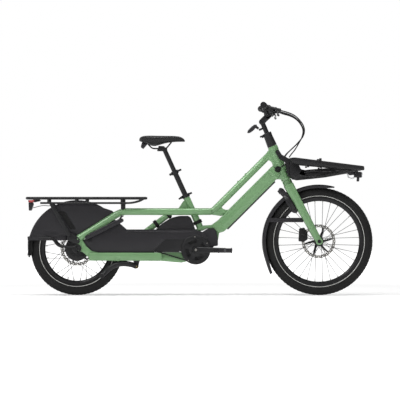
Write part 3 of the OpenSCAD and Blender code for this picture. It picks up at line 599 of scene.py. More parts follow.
def pedal(name, side, front, body, node):
    """Platform pedal: a body with four windows, studs and an axle with its end cap."""
    tip = (CRANK[0] + front * 172, CRANK[1] - front * 3)
    bm = bmesh.new()
    stand = Matrix.Translation(place(tip[0], side * 140, tip[1]))
    outer = rounded([(-43, -48), (43, -48), (43, 48), (-43, 48)], 14)
    wins = [rounded([(sx * 9, a), (sx * 36, a), (sx * 36, b), (sx * 9, b)], 5) for sx in (1, -1)
            for a, b in ((-40, -4), (4, 40))]
    plate(bm, [outer, *wins], -12.5, 12.5, 2.2, stand)
    sweep(bm, [(tip[0], side * 92, tip[1]), (tip[0], side * 187, tip[1])], 11.5, 24)
    for x in (-41, 41):
        for y in (98, 118, 140, 162, 182):
            for up in (1, -1):
                sweep(bm, [(tip[0] + x * 0.93, side * y, tip[1] + up * 11),
                           (tip[0] + x * 0.93, side * y, tip[1] + up * 15.5)], 2.2, 8)
    piece(name + "_body", bm, PLASTIC, body, "moulded_plastic", node)
    bm = bmesh.new()
    sweep(bm, [(tip[0], side * 70.5, tip[1]), (tip[0], side * 84, tip[1]), (tip[0], side * 86, tip[1]),
               (tip[0], side * 94, tip[1])],
          [6.9, 6.9, 9, 9], 24)
    bolt(bm, (tip[0], side * 186, tip[1]), (0, side, 0), 7, 3)
    piece(name + "_axle", bm, GREY, body, "steel")


pedal("right_pedal", -1, 1, "pedal_right", "right_pedal")
pedal("left_pedal", 1, -1, "pedal_left", "left_pedal")

# Chain case: raised panels over the moulded case, and the box above it
bm = bmesh.new()
plate(bm, [rounded([(300, 378), (306, 389), (700, 389), (742, 374), (700, 378)], 3)], -67.2, -64.8, 1.0)
plate(bm, [rounded([(40, 326), (92, 254), (446, 254), (524, 334), (760, 334), (742, 372), (700, 376),
                    (330, 376),
                    (300, 384), (276, 400), (256, 424), (243, 440), (228, 443), (150, 392), (72, 352)], 7)],
                    -66.6, -64.6, 1.2)
plate(bm, [rounded([(60, 320), (98, 262), (440, 262), (512, 328), (74, 328)], 5)], -67.8, -66.2, 1.0)
rows = []
for x in range(296, 701, 27):
    crown = 1.2 * math.sin(math.pi * (x - 296) / 410)
    rows.append([(x, -44, 391.5), (x, -58, 391.5), (x, -65 - crown, 385), (x, -69 - crown, 374),
                 (x, -66, 370), (x, -60, 370), (x, -44, 386)])
skin(bm, rows)
rows = []
for i in range(17):
    x = 92 + 25 * i
    foot = 262 + max(0, (x - 436) * 0.85)
    crown = 5.5 * math.sin(math.pi * min(1, (i + 0.6) / 6)) if i < 3 else 5.5 * min(1, (17.5 - i) / 4)
    line = [(x, -(67.0 + crown * math.sin(math.pi * (0.04 + 0.9 * k / 10)) ** 0.8),
             foot + (371 - foot) * k / 10)
            for k in range(11)]
    rows.append(line + [(x, -64, 371), (x, -64, foot)])
skin(bm, rows)
piece("chain_case_panels", bm, PLASTIC, "frame", "moulded_plastic")
bm = bmesh.new()
plate(bm, [rounded([(430, 257), (606, 257), (626, 278), (640, 336), (516, 336), (446, 266)], 8)], -65.4, -58,
      1.5)
piece("chain_case_corner", bm, SATIN, "frame", "satin_metal")
bm = bmesh.new()
plate(bm, [rounded([(468, 388), (500, 424), (560, 460), (608, 472), (660, 472), (676, 462), (690, 430),
                    (704, 388)], 14)],
      -31, 31, 9)
plate(bm, [rounded([(474, 384), (706, 384), (702, 398), (470, 398)], 4)], -40, 40, 3)
piece("frame_box_shell", bm, PLASTIC, "frame", "moulded_plastic", "frame_box")

# Frame tubes with smooth bends --------------------------------------------------------------------
MAIN_Y, MAIN_Z = 62, 497
bm = bmesh.new()
for side in (1, -1):
    sweep(bm, bent([(4, side * 72, 333), (240, side * MAIN_Y, 483), (276, side * MAIN_Y, MAIN_Z),
                    (640, side * MAIN_Y, MAIN_Z), (792, side * 20, MAIN_Z)], 60), 20.4, 32)
piece("main_tubes_bent", bm, GREEN, "frame", "frame_paint", "main_tubes")


def lean(along, over):
    """A point in the side view, along the down tube from its foot and over its centreline."""
    return (830 + (along - over) * math.sqrt(0.5), 386 + (along + over) * math.sqrt(0.5))


bm = bmesh.new()
plate(bm, [rounded([lean(-8, 30), lean(60, 37), lean(505, 37), lean(505, -37), lean(452, -37), lean(452, 24),
                    lean(48, 24), lean(48, -37), lean(24, -36), lean(-4, -20)], 9)], -32, 32, 6)
for side in (1, -1):
    plate(bm, [rounded([lean(44, 26), lean(460, 26), lean(460, -36.8), lean(44, -36.8)], 3)],
          min(side * 29.6, side * 32), max(side * 29.6, side * 32), 0.8)
sweep(bm, bent([(764, 0, 497), (806, 0, 497), (1142, 0, 833), (1158, 0, 849)], 60), 20, 32)
sweep(bm, [(790, 0, 493), (905, 0, 493)], 15.5, 24)
plate(bm, [rounded([(806, 500), (846, 540), (858, 530), (866, 514), (884, 508), (900, 505), (860, 470),
                    (800, 478)], 8)], -13, 13, 5)
plate(bm, [rounded([(700, 388), (742, 414), (800, 418), (846, 452), (862, 420), (846, 372), (841, 340),
                    (835, 314), (829, 320), (832, 352), (822, 384), (776, 398), (744, 382)], 7)], -24, 24, 5)
plate(bm, [rounded([(1100, 806), (1140, 866), (1166, 870), (1216, 752), (1190, 744), (1163, 760), (1161, 784),
                    (1148, 800)], 12)],
      -21, 21, 7)
plate(bm, [rounded([(1136, 688), (1170, 684), (1198, 690), (1236, 682), (1222, 742), (1164, 762)], 12)], -24,
      24, 7)
steerer_ring(bm, ((0.4, 28.5), (4, 30), (22, 30), (27, 28.5), (190, 28.5), (195, 30), (213, 30),
                  (217.6, 28.5), (217.6, 25.1), (0.4, 25.1)), 48)
for x, z in ((998, 723), (954, 679)):
    sweep(bm, [(x + 12, 0, z - 12), (x, 0, z)], 4.6, 16)
piece("frame_tubes", bm, GREEN, "frame", "frame_paint", "front_triangle")

bm = bmesh.new()
for side in (1, -1):
    y0, y1 = span(side, 66, 88)
    plate(bm, [rounded([(74, 207), (70, 244), (86, 255), (502, 254), (506, 230), (502, 205)], 10)], y0, y1, 6)
    y0, y1 = span(side, 68.6, 79)
    plate(bm, [rounded([(-30, 331), (4, 350), (30, 336), (58, 292), (92, 262), (132, 255), (132, 206),
                        (96, 206), (66, 230),
                        (40, 256), (26, 262), (8, 262), (6, 288), (22, 296), (-4, 306)], 7)], y0, y1, 1.6)
    lathe(bm, [(9, side * 84), (9, side * 89.2), (12, side * 89.4), (14, side * 87.8), (14, side * 84)],
          (246, 218), 32)
for side in (1, -1):
    plate(bm, [rounded([(440, 206), (440, 254), (628, 257), (650, 236), (656, 204), (640, 197), (500, 205)],
                       8)],
          *span(side, 24, 43), 4)
    plate(bm, [rounded([(440, 208), (440, 252), (498, 252), (498, 208)], 6)], *span(side, 42, 70), 3)
piece("chainstay_boxes", bm, GREEN, "frame", "frame_paint", "chainstays")
bm = bmesh.new()
for side in (1, -1):
    lathe(bm, [(1, side * 86), (1, side * 87.6), (8.8, side * 87.6), (8.8, side * 84)], (246, 218), 24,
          closed=False)
piece("stay_ports", bm, PLASTIC, "frame", "moulded_plastic")

# Rear fender, its rails, flap and lights ----------------------------------------------------------
FENDER_Y = 54
bm = bmesh.new()
lathe(bm, [(286, -FENDER_Y), (289.6, -FENDER_Y), (290, -FENDER_Y + 4), (290, FENDER_Y - 4), (289.6, FENDER_Y),
           (286, FENDER_Y), (286.6, FENDER_Y - 4), (286.6, 4 - FENDER_Y)], REAR, 96, sweep=152, start=38)
arc_points = [polar(REAR, 290, a) for a in range(57, 170, 4)]
for side in (1, -1):
    y0, y1 = sorted((side * FENDER_Y, side * (FENDER_Y + 3)))
    slot = rounded([(-104, 494), (-74, 494), (-12, 398), (-40, 398)], 8)
    plate(bm, [[(-286, 326), (-30, 326), (-10, 338), (214, 482), (226, 470), (232, 480),
                (205, 503)] + arc_points, slot],
          y0, y1, 1.2)
    plate(bm, [slot], y0, y0 + 1.2, 0.3)
    y0, y1 = sorted((side * (FENDER_Y + 2), side * (FENDER_Y + 11)))
    plate(bm, [rounded([(-290, 326), (-292, 350), (-60, 352), (-56, 327)], 5)], y0, y1, 2.5)
    y0, y1 = sorted((side * (FENDER_Y + 2), side * (FENDER_Y + 7)))
    plate(bm, [rounded([(-196, 366), (-170, 384), (-110, 392), (-72, 388), (-62, 372), (-72, 364)], 8)], y0,
          y1, 2.4)
for side in (1, -1):
    rows = []
    for i in range(17):
        t = i / 16
        x = -236 + 166 * t
        swell = math.sin(math.pi * min(1, 0.16 + t)) ** 0.5 if t < 0.84 else (1 - t) * 3
        swell = max(0.12, swell)
        rows.append([(x, side * (57 + d * swell), 350 + up) for d, up in
                     ((-2, 66), (0.6, 56), (3.5, 42), (7, 27), (9.5, 14), (10.2, 5), (8, 0), (-2, 0))])
    skin(bm, rows)
piece("rear_fender_shell", bm, PLASTIC, "frame", "moulded_plastic", "rear_fender")

# The fender's sides swell between the lip and the arc
bm = bmesh.new()
for side in (1, -1):
    rows = []
    for a in range(47, 164, 4):
        c, s = math.cos(math.radians(a)), math.sin(math.radians(a))
        low = max(79 / s, 15900 / (224 * s - 144 * c))
        edge = math.sin(math.pi * (a - 46) / 118) ** 0.4
        line = []
        for k in range(13):
            t = k / 12
            r = low + (287 - low) * t
            line.append((r * c, side * (56.6 + 7.5 * edge * math.sin(math.pi * (0.08 + 0.88 * t)) ** 0.8),
                         REAR[1] + r * s))
        line += [(287 * c, side * 55, REAR[1] + 287 * s), (low * c, side * 55, REAR[1] + low * s)]
        rows.append(line)
    skin(bm, rows)
piece("fender_sides", bm, PLASTIC, "frame", "moulded_plastic")
bm = bmesh.new()
for side in (1, -1):
    plate(bm, [rounded([(-108, 498), (-70, 498), (-2, 392), (-38, 392)], 10)], *span(side, 60, 66.2), 2)
piece("fender_channels", bm, RUBBER, "frame", "moulded_plastic")
bm = bmesh.new()
rows = []
for x, z, half in ((-291, 334, 37), (-292, 300, 37), (-291, 262, 36), (-295, 236, 34)):
    rows.append([(x + 28, -half, z), (x + 4, -half, z), (x, -half + 5, z), (x, half - 5, z), (x + 4, half, z),
                 (x + 28, half, z), (x + 28, half - 2, z), (x + 5, half - 2, z), (x + 2.2, half - 6, z),
                 (x + 2.2, 6 - half, z), (x + 5, 2 - half, z), (x + 28, 2 - half, z)])
skin(bm, rows)
piece("rear_mud_flap", bm, RUBBER, "frame", "moulded_plastic")
bm = bmesh.new()
plate(bm, [rounded([(-286, 503), (-288, 552), (-262, 552), (-258, 540), (-270, 503)], 4)], -29, 29, 2)
plate(bm, [rounded([(-262, 552), (-262, 568), (-225, 570), (-215, 560), (-250, 552)], 3)], -26, 26, 1.5)
piece("tail_light_bracket", bm, PLASTIC, "frame", "moulded_plastic")
bm = bmesh.new()
plate(bm, [rounded([(-290, 553), (-290, 565), (-253, 566), (-256, 555), (-270, 551)], 3)], -27, 27, 2)
piece("tail_light_lens", bm, LENS, "frame", "lens_red", "tail_light")

RACK_Y, RAIL_Z = 80, 576.5
bm = bmesh.new()
rails = bent([(300, -RACK_Y, RAIL_Z), (-295.5, -RACK_Y, RAIL_Z), (-295.5, RACK_Y, RAIL_Z),
              (300, RACK_Y, RAIL_Z)], 42, 10)
tail = [(416, -RACK_Y, RAIL_Z), (408, -RACK_Y, RAIL_Z)]
sweep(bm, tail + rails + [(408, RACK_Y, RAIL_Z), (416, RACK_Y, RAIL_Z)],
      [6, 8.5] + [8.5] * len(rails) + [8.5, 6], 20)
for x in (-240, -184, -22, 84, 290, 400):
    sweep(bm, [(x, -RACK_Y, RAIL_Z + 1), (x, RACK_Y, RAIL_Z + 1)], 5, 16)
for x in (-100, 164):
    stand = Matrix.Translation(place(x, 0, 581.9))
    holes = [[(2.75 * math.cos(t), y + 2.75 * math.sin(t)) for t in (math.pi * k / 8 for k in range(16))]
             for y in (-50, 50)]
    plate(bm, [rounded([(-17, -RACK_Y), (17, -RACK_Y), (17, RACK_Y), (-17, RACK_Y)], 3), *holes], -2.5, 2.5,
          0.8, stand)
piece("rack_top", bm, SATIN, "frame", "satin_metal", "rear_rack")
bm = bmesh.new()
for side in (1, -1):
    y = side * 94
    sweep(bm, bent([(-214, y, 548), (325, y, 548), (372, side * 86, 560), (396, side * 82, 574)], 34), 6, 16)
    sweep(bm, bent([(274, side * 66, 508), (274, side * 66, 573)], 5), 12, 24)
    plate(bm, [rounded([(259, 540), (290, 540), (290, 549), (259, 549)], 2)],
          *span(side, 62, 93), 1.5)
    rows = []
    for t, size in ((0, 1.0), (0.12, 1.15), (0.9, 1.15), (1, 0.9)):
        x, z = -151 + 113 * t, 546 - 194 * t
        u = Vector((0.864, 0.503)) * 10 * size
        rows.append([(x - u[0], y - side * 7, z - u[1]), (x - u[0], y + side * 4, z - u[1]),
                     (x - u[0] * 0.6, y + side * 7, z - u[1] * 0.6),
                     (x + u[0] * 0.6, y + side * 7, z + u[1] * 0.6),
                     (x + u[0], y + side * 4, z + u[1]), (x + u[0], y - side * 7, z + u[1])])
    skin(bm, rows)
    y0, y1 = span(side, 80, 92)
    plate(bm, [rounded([(-56, 368), (-24, 370), (22, 338), (18, 312), (-6, 306), (-52, 326)], 8)], y0, y1,
          2.5)
    sweep(bm, bent([(-221, side * 62, 343), (-143, side * 84, 343), (-107, side * 86, 289),
                    (-8, side * 86, 289)], 30), 7, 16)
    y0, y1 = span(side, 80, 90)
    plate(bm, [rounded([polar((2, 279), 27, a) for a in range(0, 360, 24)], 4),
               capsule((2, 286), (8, 262), 6)], y0, y1, 2)
piece("rack_stay_tubes", bm, SATIN, "frame", "satin_metal", "rack_stays")
bm = bmesh.new()
for side in (1, -1):
    for x in (-166, -2, 60, 268):
        rows = []
        for t, wide in ((0, 6.5), (0.2, 7.5), (0.8, 7.5), (1, 6)):
            y, z = side * (97 - 15 * t), 544 + 33 * t
            rows.append([(x - wide, y - side * 5, z), (x - wide + 2, y + side * 3, z),
                         (x + wide - 2, y + side * 3, z), (x + wide, y - side * 5, z)])
        skin(bm, rows)
piece("rack_clips", bm, ALLOY, "frame", "satin_metal")
bm = bmesh.new()
sweep(bm, curve([(-262, 30, 520), (-250, 44, 523), (-225, 62, 530), (-200, 78, 533), (-170, 90, 531),
                 (-150, 92, 540)]), 2.2, 10)
piece("tail_light_lead", bm, GREY, "frame", "grip_rubber")


def collar(bm, p, along, inner, outer, half, sides=40):
    """A band round a tube at p: a chamfered ring whose axis is along."""
    along = Vector(along).normalized()
    u = along.orthogonal().normalized()
    v = along.cross(u)
    rows = []
    for up, r in ((-half, inner), (-half, outer - 1), (1 - half, outer), (half - 1, outer), (half, outer - 1),
                  (half, inner)):
        rows.append([Vector(p) + along * up + r * (math.cos(t) * u + math.sin(t) * v)
                     for t in (2 * math.pi * k / sides for k in range(sides))])
    skin(bm, rows + [rows[0]], caps=False)


STRUT = (190, 0, 143)
SEAT_LINE = (-math.sin(SEAT_TILT), 0, math.cos(SEAT_TILT))
bm = bmesh.new()
for p, along, r in (((471, 0, 424), STRUT, 17.6), ((543, 0, 478), STRUT, 17.6),
                    ((717, 0, 434), SEAT_LINE, 20.1)):
    collar(bm, p, along, r, r + 6.5, 10)
piece("frame_straps", bm, RUBBER, "frame", "moulded_plastic")

# Kickstand and footboards -------------------------------------------------------------------------
bm = bmesh.new()
for side in (1, -1):
    leg = curve([(352, side * 74, 172), (318, side * 74, 183), (276, side * 74, 188), (236, side * 74, 182),
                 (200, side * 75, 164), (172, side * 80, 138), (155, side * 96, 121)], 6)
    sizes = [11 + 4.5 * math.sin(math.pi * min(1, 0.12 + 0.8 * i / len(leg))) for i in range(len(leg))]
    sweep(bm, leg, sizes, 24)
    lathe(bm, [(1, side * 94), (12, side * 94), (15, side * 97), (15, side * 121), (12, side * 124),
               (1, side * 124)],
          (150, 118), 32, closed=False)
    lathe(bm, [(7.1, side * 66), (14, side * 66), (15, side * 68), (15, side * 79), (13, side * 80.5),
               (7.1, side * 80.5)],
          (349, 174), 32)
sweep(bm, [(349, -79.6, 174), (349, 79.6, 174)], 6.9, 24)
piece("kickstand_legs", bm, SATIN, "stand", "satin_metal", "centre_stand")
bm = bmesh.new()
for side in (1, -1):
    bolt(bm, (349, side * 80, 174), (0, side, 0), 8, 2.6)
    bolt(bm, (362, side * 79, 168), (0, side, 0), 3, 1.6)
piece("kickstand_bolts", bm, BRASS, "stand", "steel")
for name, side, body, node in (("right_step", -1, "footboard_right", "right_footboard"),
                               ("left_step", 1, "footboard_left", "left_footboard")):
    bm = bmesh.new()
    y0, y1 = span(side, 92, 103)
    plate(bm, [capsule((62, 344), (262, 444), 12, 12)], y0, y1, 4)
    for k in range(9):
        x, z = 78 + k * 21, 352 + k * 10.5
        plate(bm, [capsule((x - 5, z - 2.5), (x + 5, z + 2.5), 6)], *span(side, 102.4, 103.6), 0.4)
    sweep(bm, bent([(80, side * 95, 366), (254, side * 95, 452), (266, side * 96, 470)], 14), 3.4, 12)
    collar(bm, (267, side * 96, 471), (0, 1, 0), 3, 7, 3.4, 24)
    piece(name, bm, PLASTIC, body, "moulded_plastic", node)

# Saddle, its rails and clamp ----------------------------------------------------------------------
SADDLE = ((369, 34, 930, 915), (380, 58, 944, 913), (404, 76, 949, 903), (430, 82, 950, 892),
          (460, 78, 949.5, 886.5),
          (492, 63, 949, 894), (524, 46, 948.5, 903), (556, 34, 948.5, 909), (584, 28, 948, 911),
          (606, 25, 945, 912), (624, 21, 938, 912), (636, 15, 929, 912), (642, 8, 920, 913))
bm = bmesh.new()
rows = []
for x, half, top, low in SADDLE:
    line = []
    for k in range(24):
        t = 2 * math.pi * k / 24
        c, s = math.cos(t), math.sin(t)
        y = half * math.copysign(abs(c) ** 0.62, c)
        mid = low + (top - low) * 0.62
        z = mid + (top - mid) * abs(s) ** 0.9 if s > 0 else mid - (mid - low) * abs(s) ** 0.45
        dip = 3.2 * math.exp(-(y / 9) ** 2) if s > 0 and 395 < x < 600 else 0
        line.append((x, y * (0.93 if s < -0.2 else 1), z - dip))
    rows.append(line)
skin(bm, rows)
top = piece("saddle_padding", bm, LEATHER, "seat_inner", "saddle_cover", "saddle")
smooth = top.modifiers.new("rounding", "SUBSURF")
smooth.levels = smooth.render_levels = 2
bm = bmesh.new()
for side in (1, -1):
    line = [(x, side * half * 0.972, low + (top_z - low) * 0.72) for x, half, top_z, low in SADDLE[1:-1]]
    sweep(bm, curve(line, 5), 0.9, 8)
    line = [(x, side * half * 0.9, low + 3) for x, half, top_z, low in SADDLE[1:-1]]
    sweep(bm, curve(line, 5), 1.6, 8)
piece("saddle_seams", bm, GRIP, "seat_inner", "saddle_cover")
bm = bmesh.new()
for side in (1, -1):
    sweep(bm, bent([(420, side * 27, 900), (447, side * 21, 872), (530, side * 21, 872),
                    (562, side * 13, 911)], 14, 8), 4.1, 14)
    y0, y1 = span(side, 17, 26)
    plate(bm, [rounded([(478, 862), (482, 880), (526, 880), (530, 862)], 5)], y0, y1, 1.5)
piece("saddle_rails", bm, SATIN, "seat_inner", "steel")
bm = bmesh.new()
plate(bm, [rounded([(389, 916), (413, 905), (417, 896), (394, 869), (380, 877), (380, 888)], 4)], -24, 24, 5)
bolt(bm, (504, -26, 870), (0, -1, 0), 4, 2.5)
bolt(bm, (504, 26, 870), (0, 1, 0), 4, 2.5)
piece("saddle_tail", bm, PLASTIC, "seat_inner", "moulded_plastic")

# Handlebar, grips, levers and stem ----------------------------------------------------------------
BAR = [(1154, 48, 1085), (1136, 125, 1102), (1112, 200, 1116), (1100, 345, 1120)]


def other(points, side):
    return [(p[0], p[1] * side, p[2]) for p in points]


bm = bmesh.new()
sweep(bm, bent(other(BAR[::-1], -1) + BAR, 55, 8), 11, 24)
lathe(bm, [(11, -60), (14, -59), (15.8, -50), (15.8, 50), (14, 59), (11, 60)], (1154, 1085), 48, closed=False)
piece("handlebar_bent", bm, SATIN, "bars", "satin_metal", "handlebar")
bm = bmesh.new()
for side in (1, -1):
    a, b = (Vector(p) for p in other(BAR[2:], side))
    run = (b - a).normalized()
    a, b = a + run * 17, b + run * 3.6
    line = [a.lerp(b, i / 46) for i in range(47)]
    sizes = [18.2 if i in (0, 1, 45, 46) else 16.6 + 1.7 * math.sin(math.pi * i / 46) + 0.7 * (i % 2)
             for i in range(47)]
    sweep(bm, line, [16.0] + sizes[1:-1] + [17.0], 32)
    wing = [a.lerp(b, 0.55 + i / 22) + Vector((-2.4, 0, 1.2)) for i in range(10)]
    sweep(bm, wing, [12, 15, 16.6, 17.2, 17.4, 17.4, 17.2, 16.8, 16, 13], 24)
piece("grips_ribbed", bm, GRIP, "bars", "grip_rubber", "grips")
bm = bmesh.new()
for side in (1, -1):
    a = Vector((1112, side * 200, 1116))
    run = Vector(other([BAR[3]], side)[0]) - a
    collar(bm, a + run.normalized() * 13, run, 11.1, 17.5, 4, 32)
    collar(bm, Vector(other([BAR[3]], side)[0]) + run.normalized() * 1.5, run, 3, 14, 2.5, 32)
piece("grip_collars", bm, SATIN, "bars", "satin_metal")
bm = bmesh.new()
for side in (1, -1):
    p = Vector((1118, side * 176, 1110))
    sweep(bm, [p, p + Vector((30, -side * 8, -6)), p + Vector((58, -side * 16, -10)),
               p + Vector((88, -side * 24, -18))],
          [13, 14, 12.5, 9], 20)
    sweep(bm, [p + Vector((8, -side * 2, -6)), p + Vector((40, -side * 2, -26)),
               p + Vector((54, side * 10, -30))], [12, 10, 9], 18)
    collar(bm, p + Vector((0, side * 8, 1)), (-12, side * 75, 14), 11.1, 18, 7, 32)
    sweep(bm, [p + Vector((-6, -side * 30, -4)), p + Vector((-4, -side * 16, -2))], [17, 17], 24)
    sweep(bm, [p + Vector((4, -side * 20, -16)), p + Vector((6, -side * 12, -34)),
               p + Vector((2, -side * 4, -44))], [9, 8, 6], 16)
piece("brake_bodies", bm, SATIN, "bars", "satin_metal")
bm = bmesh.new()
for side in (1, -1):
    p = Vector((1118, side * 176, 1110))
    bolt(bm, p + Vector((60, -side * 16, 1)), (0.2, 0, 1), 4, 2.5)
    bolt(bm, p + Vector((52, side * 12, -26)), (0.6, 0, 0.8), 4, 5)
    bolt(bm, p + Vector((-18, side * 8, -6)), (-0.7, 0, -0.7), 3, 2)
for x, y, z in ((1168, 18, 1099), (1168, -18, 1099), (1170, 18, 1071), (1170, -18, 1071)):
    bolt(bm, (x, y, z), (0.75, 0, 0.25), 3.4, 5)
bolt(bm, (1100, -24, 1031), (0, -1, 0), 6, 3)
bolt(bm, (1100, 24, 1031), (0, 1, 0), 6, 3)
piece("bar_bolts", bm, ALLOY, "bars", "steel")
for name, side, body, node in (("right_brake_blade", -1, "brake_right", "right_brake_lever"),
                               ("left_brake_blade", 1, "brake_left", "left_brake_lever")):
    bm = bmesh.new()
    blade = curve(other([(1172, 188, 1082), (1184, 212, 1078), (1188, 250, 1071), (1184, 285, 1065),
                         (1187, 306, 1061), (1190, 313, 1060)], side), 6)
    sweep(bm, blade, [6.2 - 1.8 * math.sin(math.pi * min(1, i / 26)) for i in range(len(blade))], 16)
    sweep(bm, other([(1168.4, 188, 1077.2), (1175.6, 188, 1086.8)], side), 6, 20)
    piece(name, bm, ALLOY, body, "satin_metal", node)

bm = bmesh.new()
for y0, y1 in ((-24, -16.5), (16.5, 24)):
    plate(bm, [capsule((1100, 1031), (1150, 1081), 18, 14)], y0, y1, 3)
plate(bm, [rounded([(1116, 1052), (1132, 1098), (1152, 1106), (1172, 1096), (1176, 1076), (1160, 1064),
                    (1136, 1040)], 12)], -24, 24, 6)
piece("stem_arms", bm, SATIN, "bars", "satin_metal", "stem")
bm = bmesh.new()
plate(bm, [rounded([(1011, 964), (1015, 978), (1036, 1000), (1056, 1014), (1070, 1015), (1068, 1000),
                    (1050, 980), (1028, 964)], 7)],
      -27, 27, 7)
plate(bm, [rounded([(1056, 998), (1064, 1010), (1084, 996), (1076, 984)], 4)], -8, 8, 2)
piece("display_shell", bm, PLASTIC, "display", "moulded_plastic", "display")
# The display's glass cover as a thin strip on its upper edge. Its light grey colour is a painted highlight
# along that edge.
bm = bmesh.new()
face = [(1014, 978.5), (1036, 1000.8), (1056, 1014.8), (1054.6, 1016.6), (1034, 1002.6), (1012.4, 980)]
skin(bm, [[(x, y, z) for x, z in face] for y in (-22, 22)])
piece("display_glass_painted_highlight", bm, LAMP_GLASS_AND_HIGHLIGHT, "display", "moulded_plastic")
bm = bmesh.new()
for side in (1, -1):
    sweep(bm, [(1136, side * 122, 1112), (1137, side * 122, 1122)], [15, 13], 28)
    sweep(bm, [(1137, side * 122, 1122), (1137.6, side * 122, 1126), (1138, side * 122, 1128)], [13, 10, 4],
          28)
piece("bar_bell_and_remote", bm, PLASTIC, "bars", "moulded_plastic")

bm = bmesh.new()
steerer_ring(bm, ((218.7, 25.2), (218.7, 28.6), (222, 29), (284, 25.6), (286, 26.6), (302, 26.6), (304, 25),
                  (304, 14.6), (218.7, 14.6)), 48)
plate(bm, [rounded([(-38, -13), (-14, -13), (-14, 13), (-38, 13)], 4)], -8, 8, 2,
      STEER_FRAME @ Matrix.Translation((0, 0, 0.294)))
piece("steerer_collar_shell", bm, SATIN, "fork", "satin_metal", "steerer_collar")
bm = bmesh.new()
sweep(bm, [steer(0, 0, 190), steer(0, 0, 366)], 14.2, 32)
sweep(bm, [steer(0, -16, 376), steer(0, 16, 376)], 15.5, 32)
plate(bm, [rounded([(-36, -6), (-12, -8), (-12, 8), (-36, 6)], 3)], -6, 6, 2,
      STEER_FRAME @ Matrix.Translation((0, 0, 0.338)))
piece("bar_post_tube", bm, SATIN, "bar_post", "satin_metal", "handlebar_post")


# Fork, front fender -------------------------------------------------------------------------------
AHEAD, ABOVE = FRONT[0] - STEER_FOOT[0], FRONT[1] - STEER_FOOT[1]
TIP = (AHEAD * math.cos(STEER_TILT) + ABOVE * math.sin(STEER_TILT),
       ABOVE * math.cos(STEER_TILT) - AHEAD * math.sin(STEER_TILT))
bm = bmesh.new()
plate(bm, [rounded([(-28, -72), (30, -72), (30, 72), (-28, 72)], 18, 8)], -15, 15, 7,
      STEER_FRAME @ Matrix.Translation((0, 0, -0.041)))
for side in (1, -1):
    rows = []
    for i in range(15):
        t = i / 14
        x, z = 1 + (TIP[0] - 1) * t, -40 + (TIP[1] + 40) * t
        wide = 29 - 10 * t ** 0.8
        line = []
        for k in range(20):
            a = 2 * math.pi * k / 20
            c, s = math.cos(a), math.sin(a)
            line.append(steer(x + wide * math.copysign(abs(c) ** 0.75, c),
                              side * 60 + 12 * math.copysign(abs(s) ** 0.75, s), z))
        rows.append(line)
    skin(bm, rows)
    y0, y1 = span(side, 49, 71.5)
    plate(bm, [ring(FRONT, 20.6, 48), ring(FRONT, 6.2, 24)], y0, y1, 3)
rows = []
for up, r in ((-30, 28.4), (-3, 28.4), (-1.2, 27.4), (-1, 19), (240, 19)):
    rows.append([steer(r * math.cos(t), r * math.sin(t), up)
                 for t in (2 * math.pi * k / 40 for k in range(40))])
skin(bm, rows)
piece("fork_blades", bm, GREEN, "fork", "frame_paint", "fork")

bm = bmesh.new()
rows = []
for i in range(71):
    t = i / 70
    a = 74 + 140 * t
    lip = (7 + 14 * min(1, t / 0.06)) * (1 - 0.2 * max(0, t - 0.9) / 0.1)
    crown = 338 + 12 * max(0, (t - 0.88) / 0.12) ** 1.6
    wide = 38 * min(1, 0.72 + t / 0.25 * 0.28)
    section = [(crown - lip, -wide), (crown - 6, -wide), (crown - 1.5, -wide + 6), (crown, -wide * 0.45),
               (crown, wide * 0.45),
               (crown - 1.5, wide - 6), (crown - 6, wide), (crown - lip, wide), (crown - lip, wide - 1.8),
               (crown - 7, wide - 1.8), (crown - 3.6, wide - 8), (crown - 2.4, 0), (crown - 3.6, 8 - wide),
               (crown - 7, 1.8 - wide), (crown - lip, 1.8 - wide)]
    rows.append([(polar(FRONT, r, a)[0], y, polar(FRONT, r, a)[1]) for r, y in section])
skin(bm, rows)
for side in (1, -1):
    plate(bm, [rounded([(1128, 434), (1128, 460), (1338, 460), (1346, 434)], 6)], *span(side, 41, 45), 1.2)
    sweep(bm, [(1134, side * 36.6, 447), (1134, side * 46, 447)], 6, 20)
    sweep(bm, [(1336, side * 42, 447), (1336, side * 50, 447)], 5, 20)
piece("front_fender_shell", bm, PLASTIC, "fork", "moulded_plastic", "front_fender")

bm = bmesh.new()
plate(bm, [rounded([(1196, 622), (1206, 640), (1226, 634), (1246, 606), (1232, 586), (1214, 592)], 6)], -34,
      34, 6)
for side, near in ((-1, 45), (1, 78)):
    plate(bm, [rounded([(1212, 618), (1230, 622), (1262, 600), (1314, 502), (1304, 486), (1284, 490),
                        (1258, 520), (1224, 584)], 9)],
          *sorted((side * near, side * (near + 8))), 3)
    plate(bm, [rounded([(1222, 600), (1234, 604), (1250, 580), (1240, 572)], 3)],
          *sorted((side * (near + 7.4), side * (near + 10))), 1)
piece("ring_lock_housing", bm, PLASTIC, "fork", "moulded_plastic")

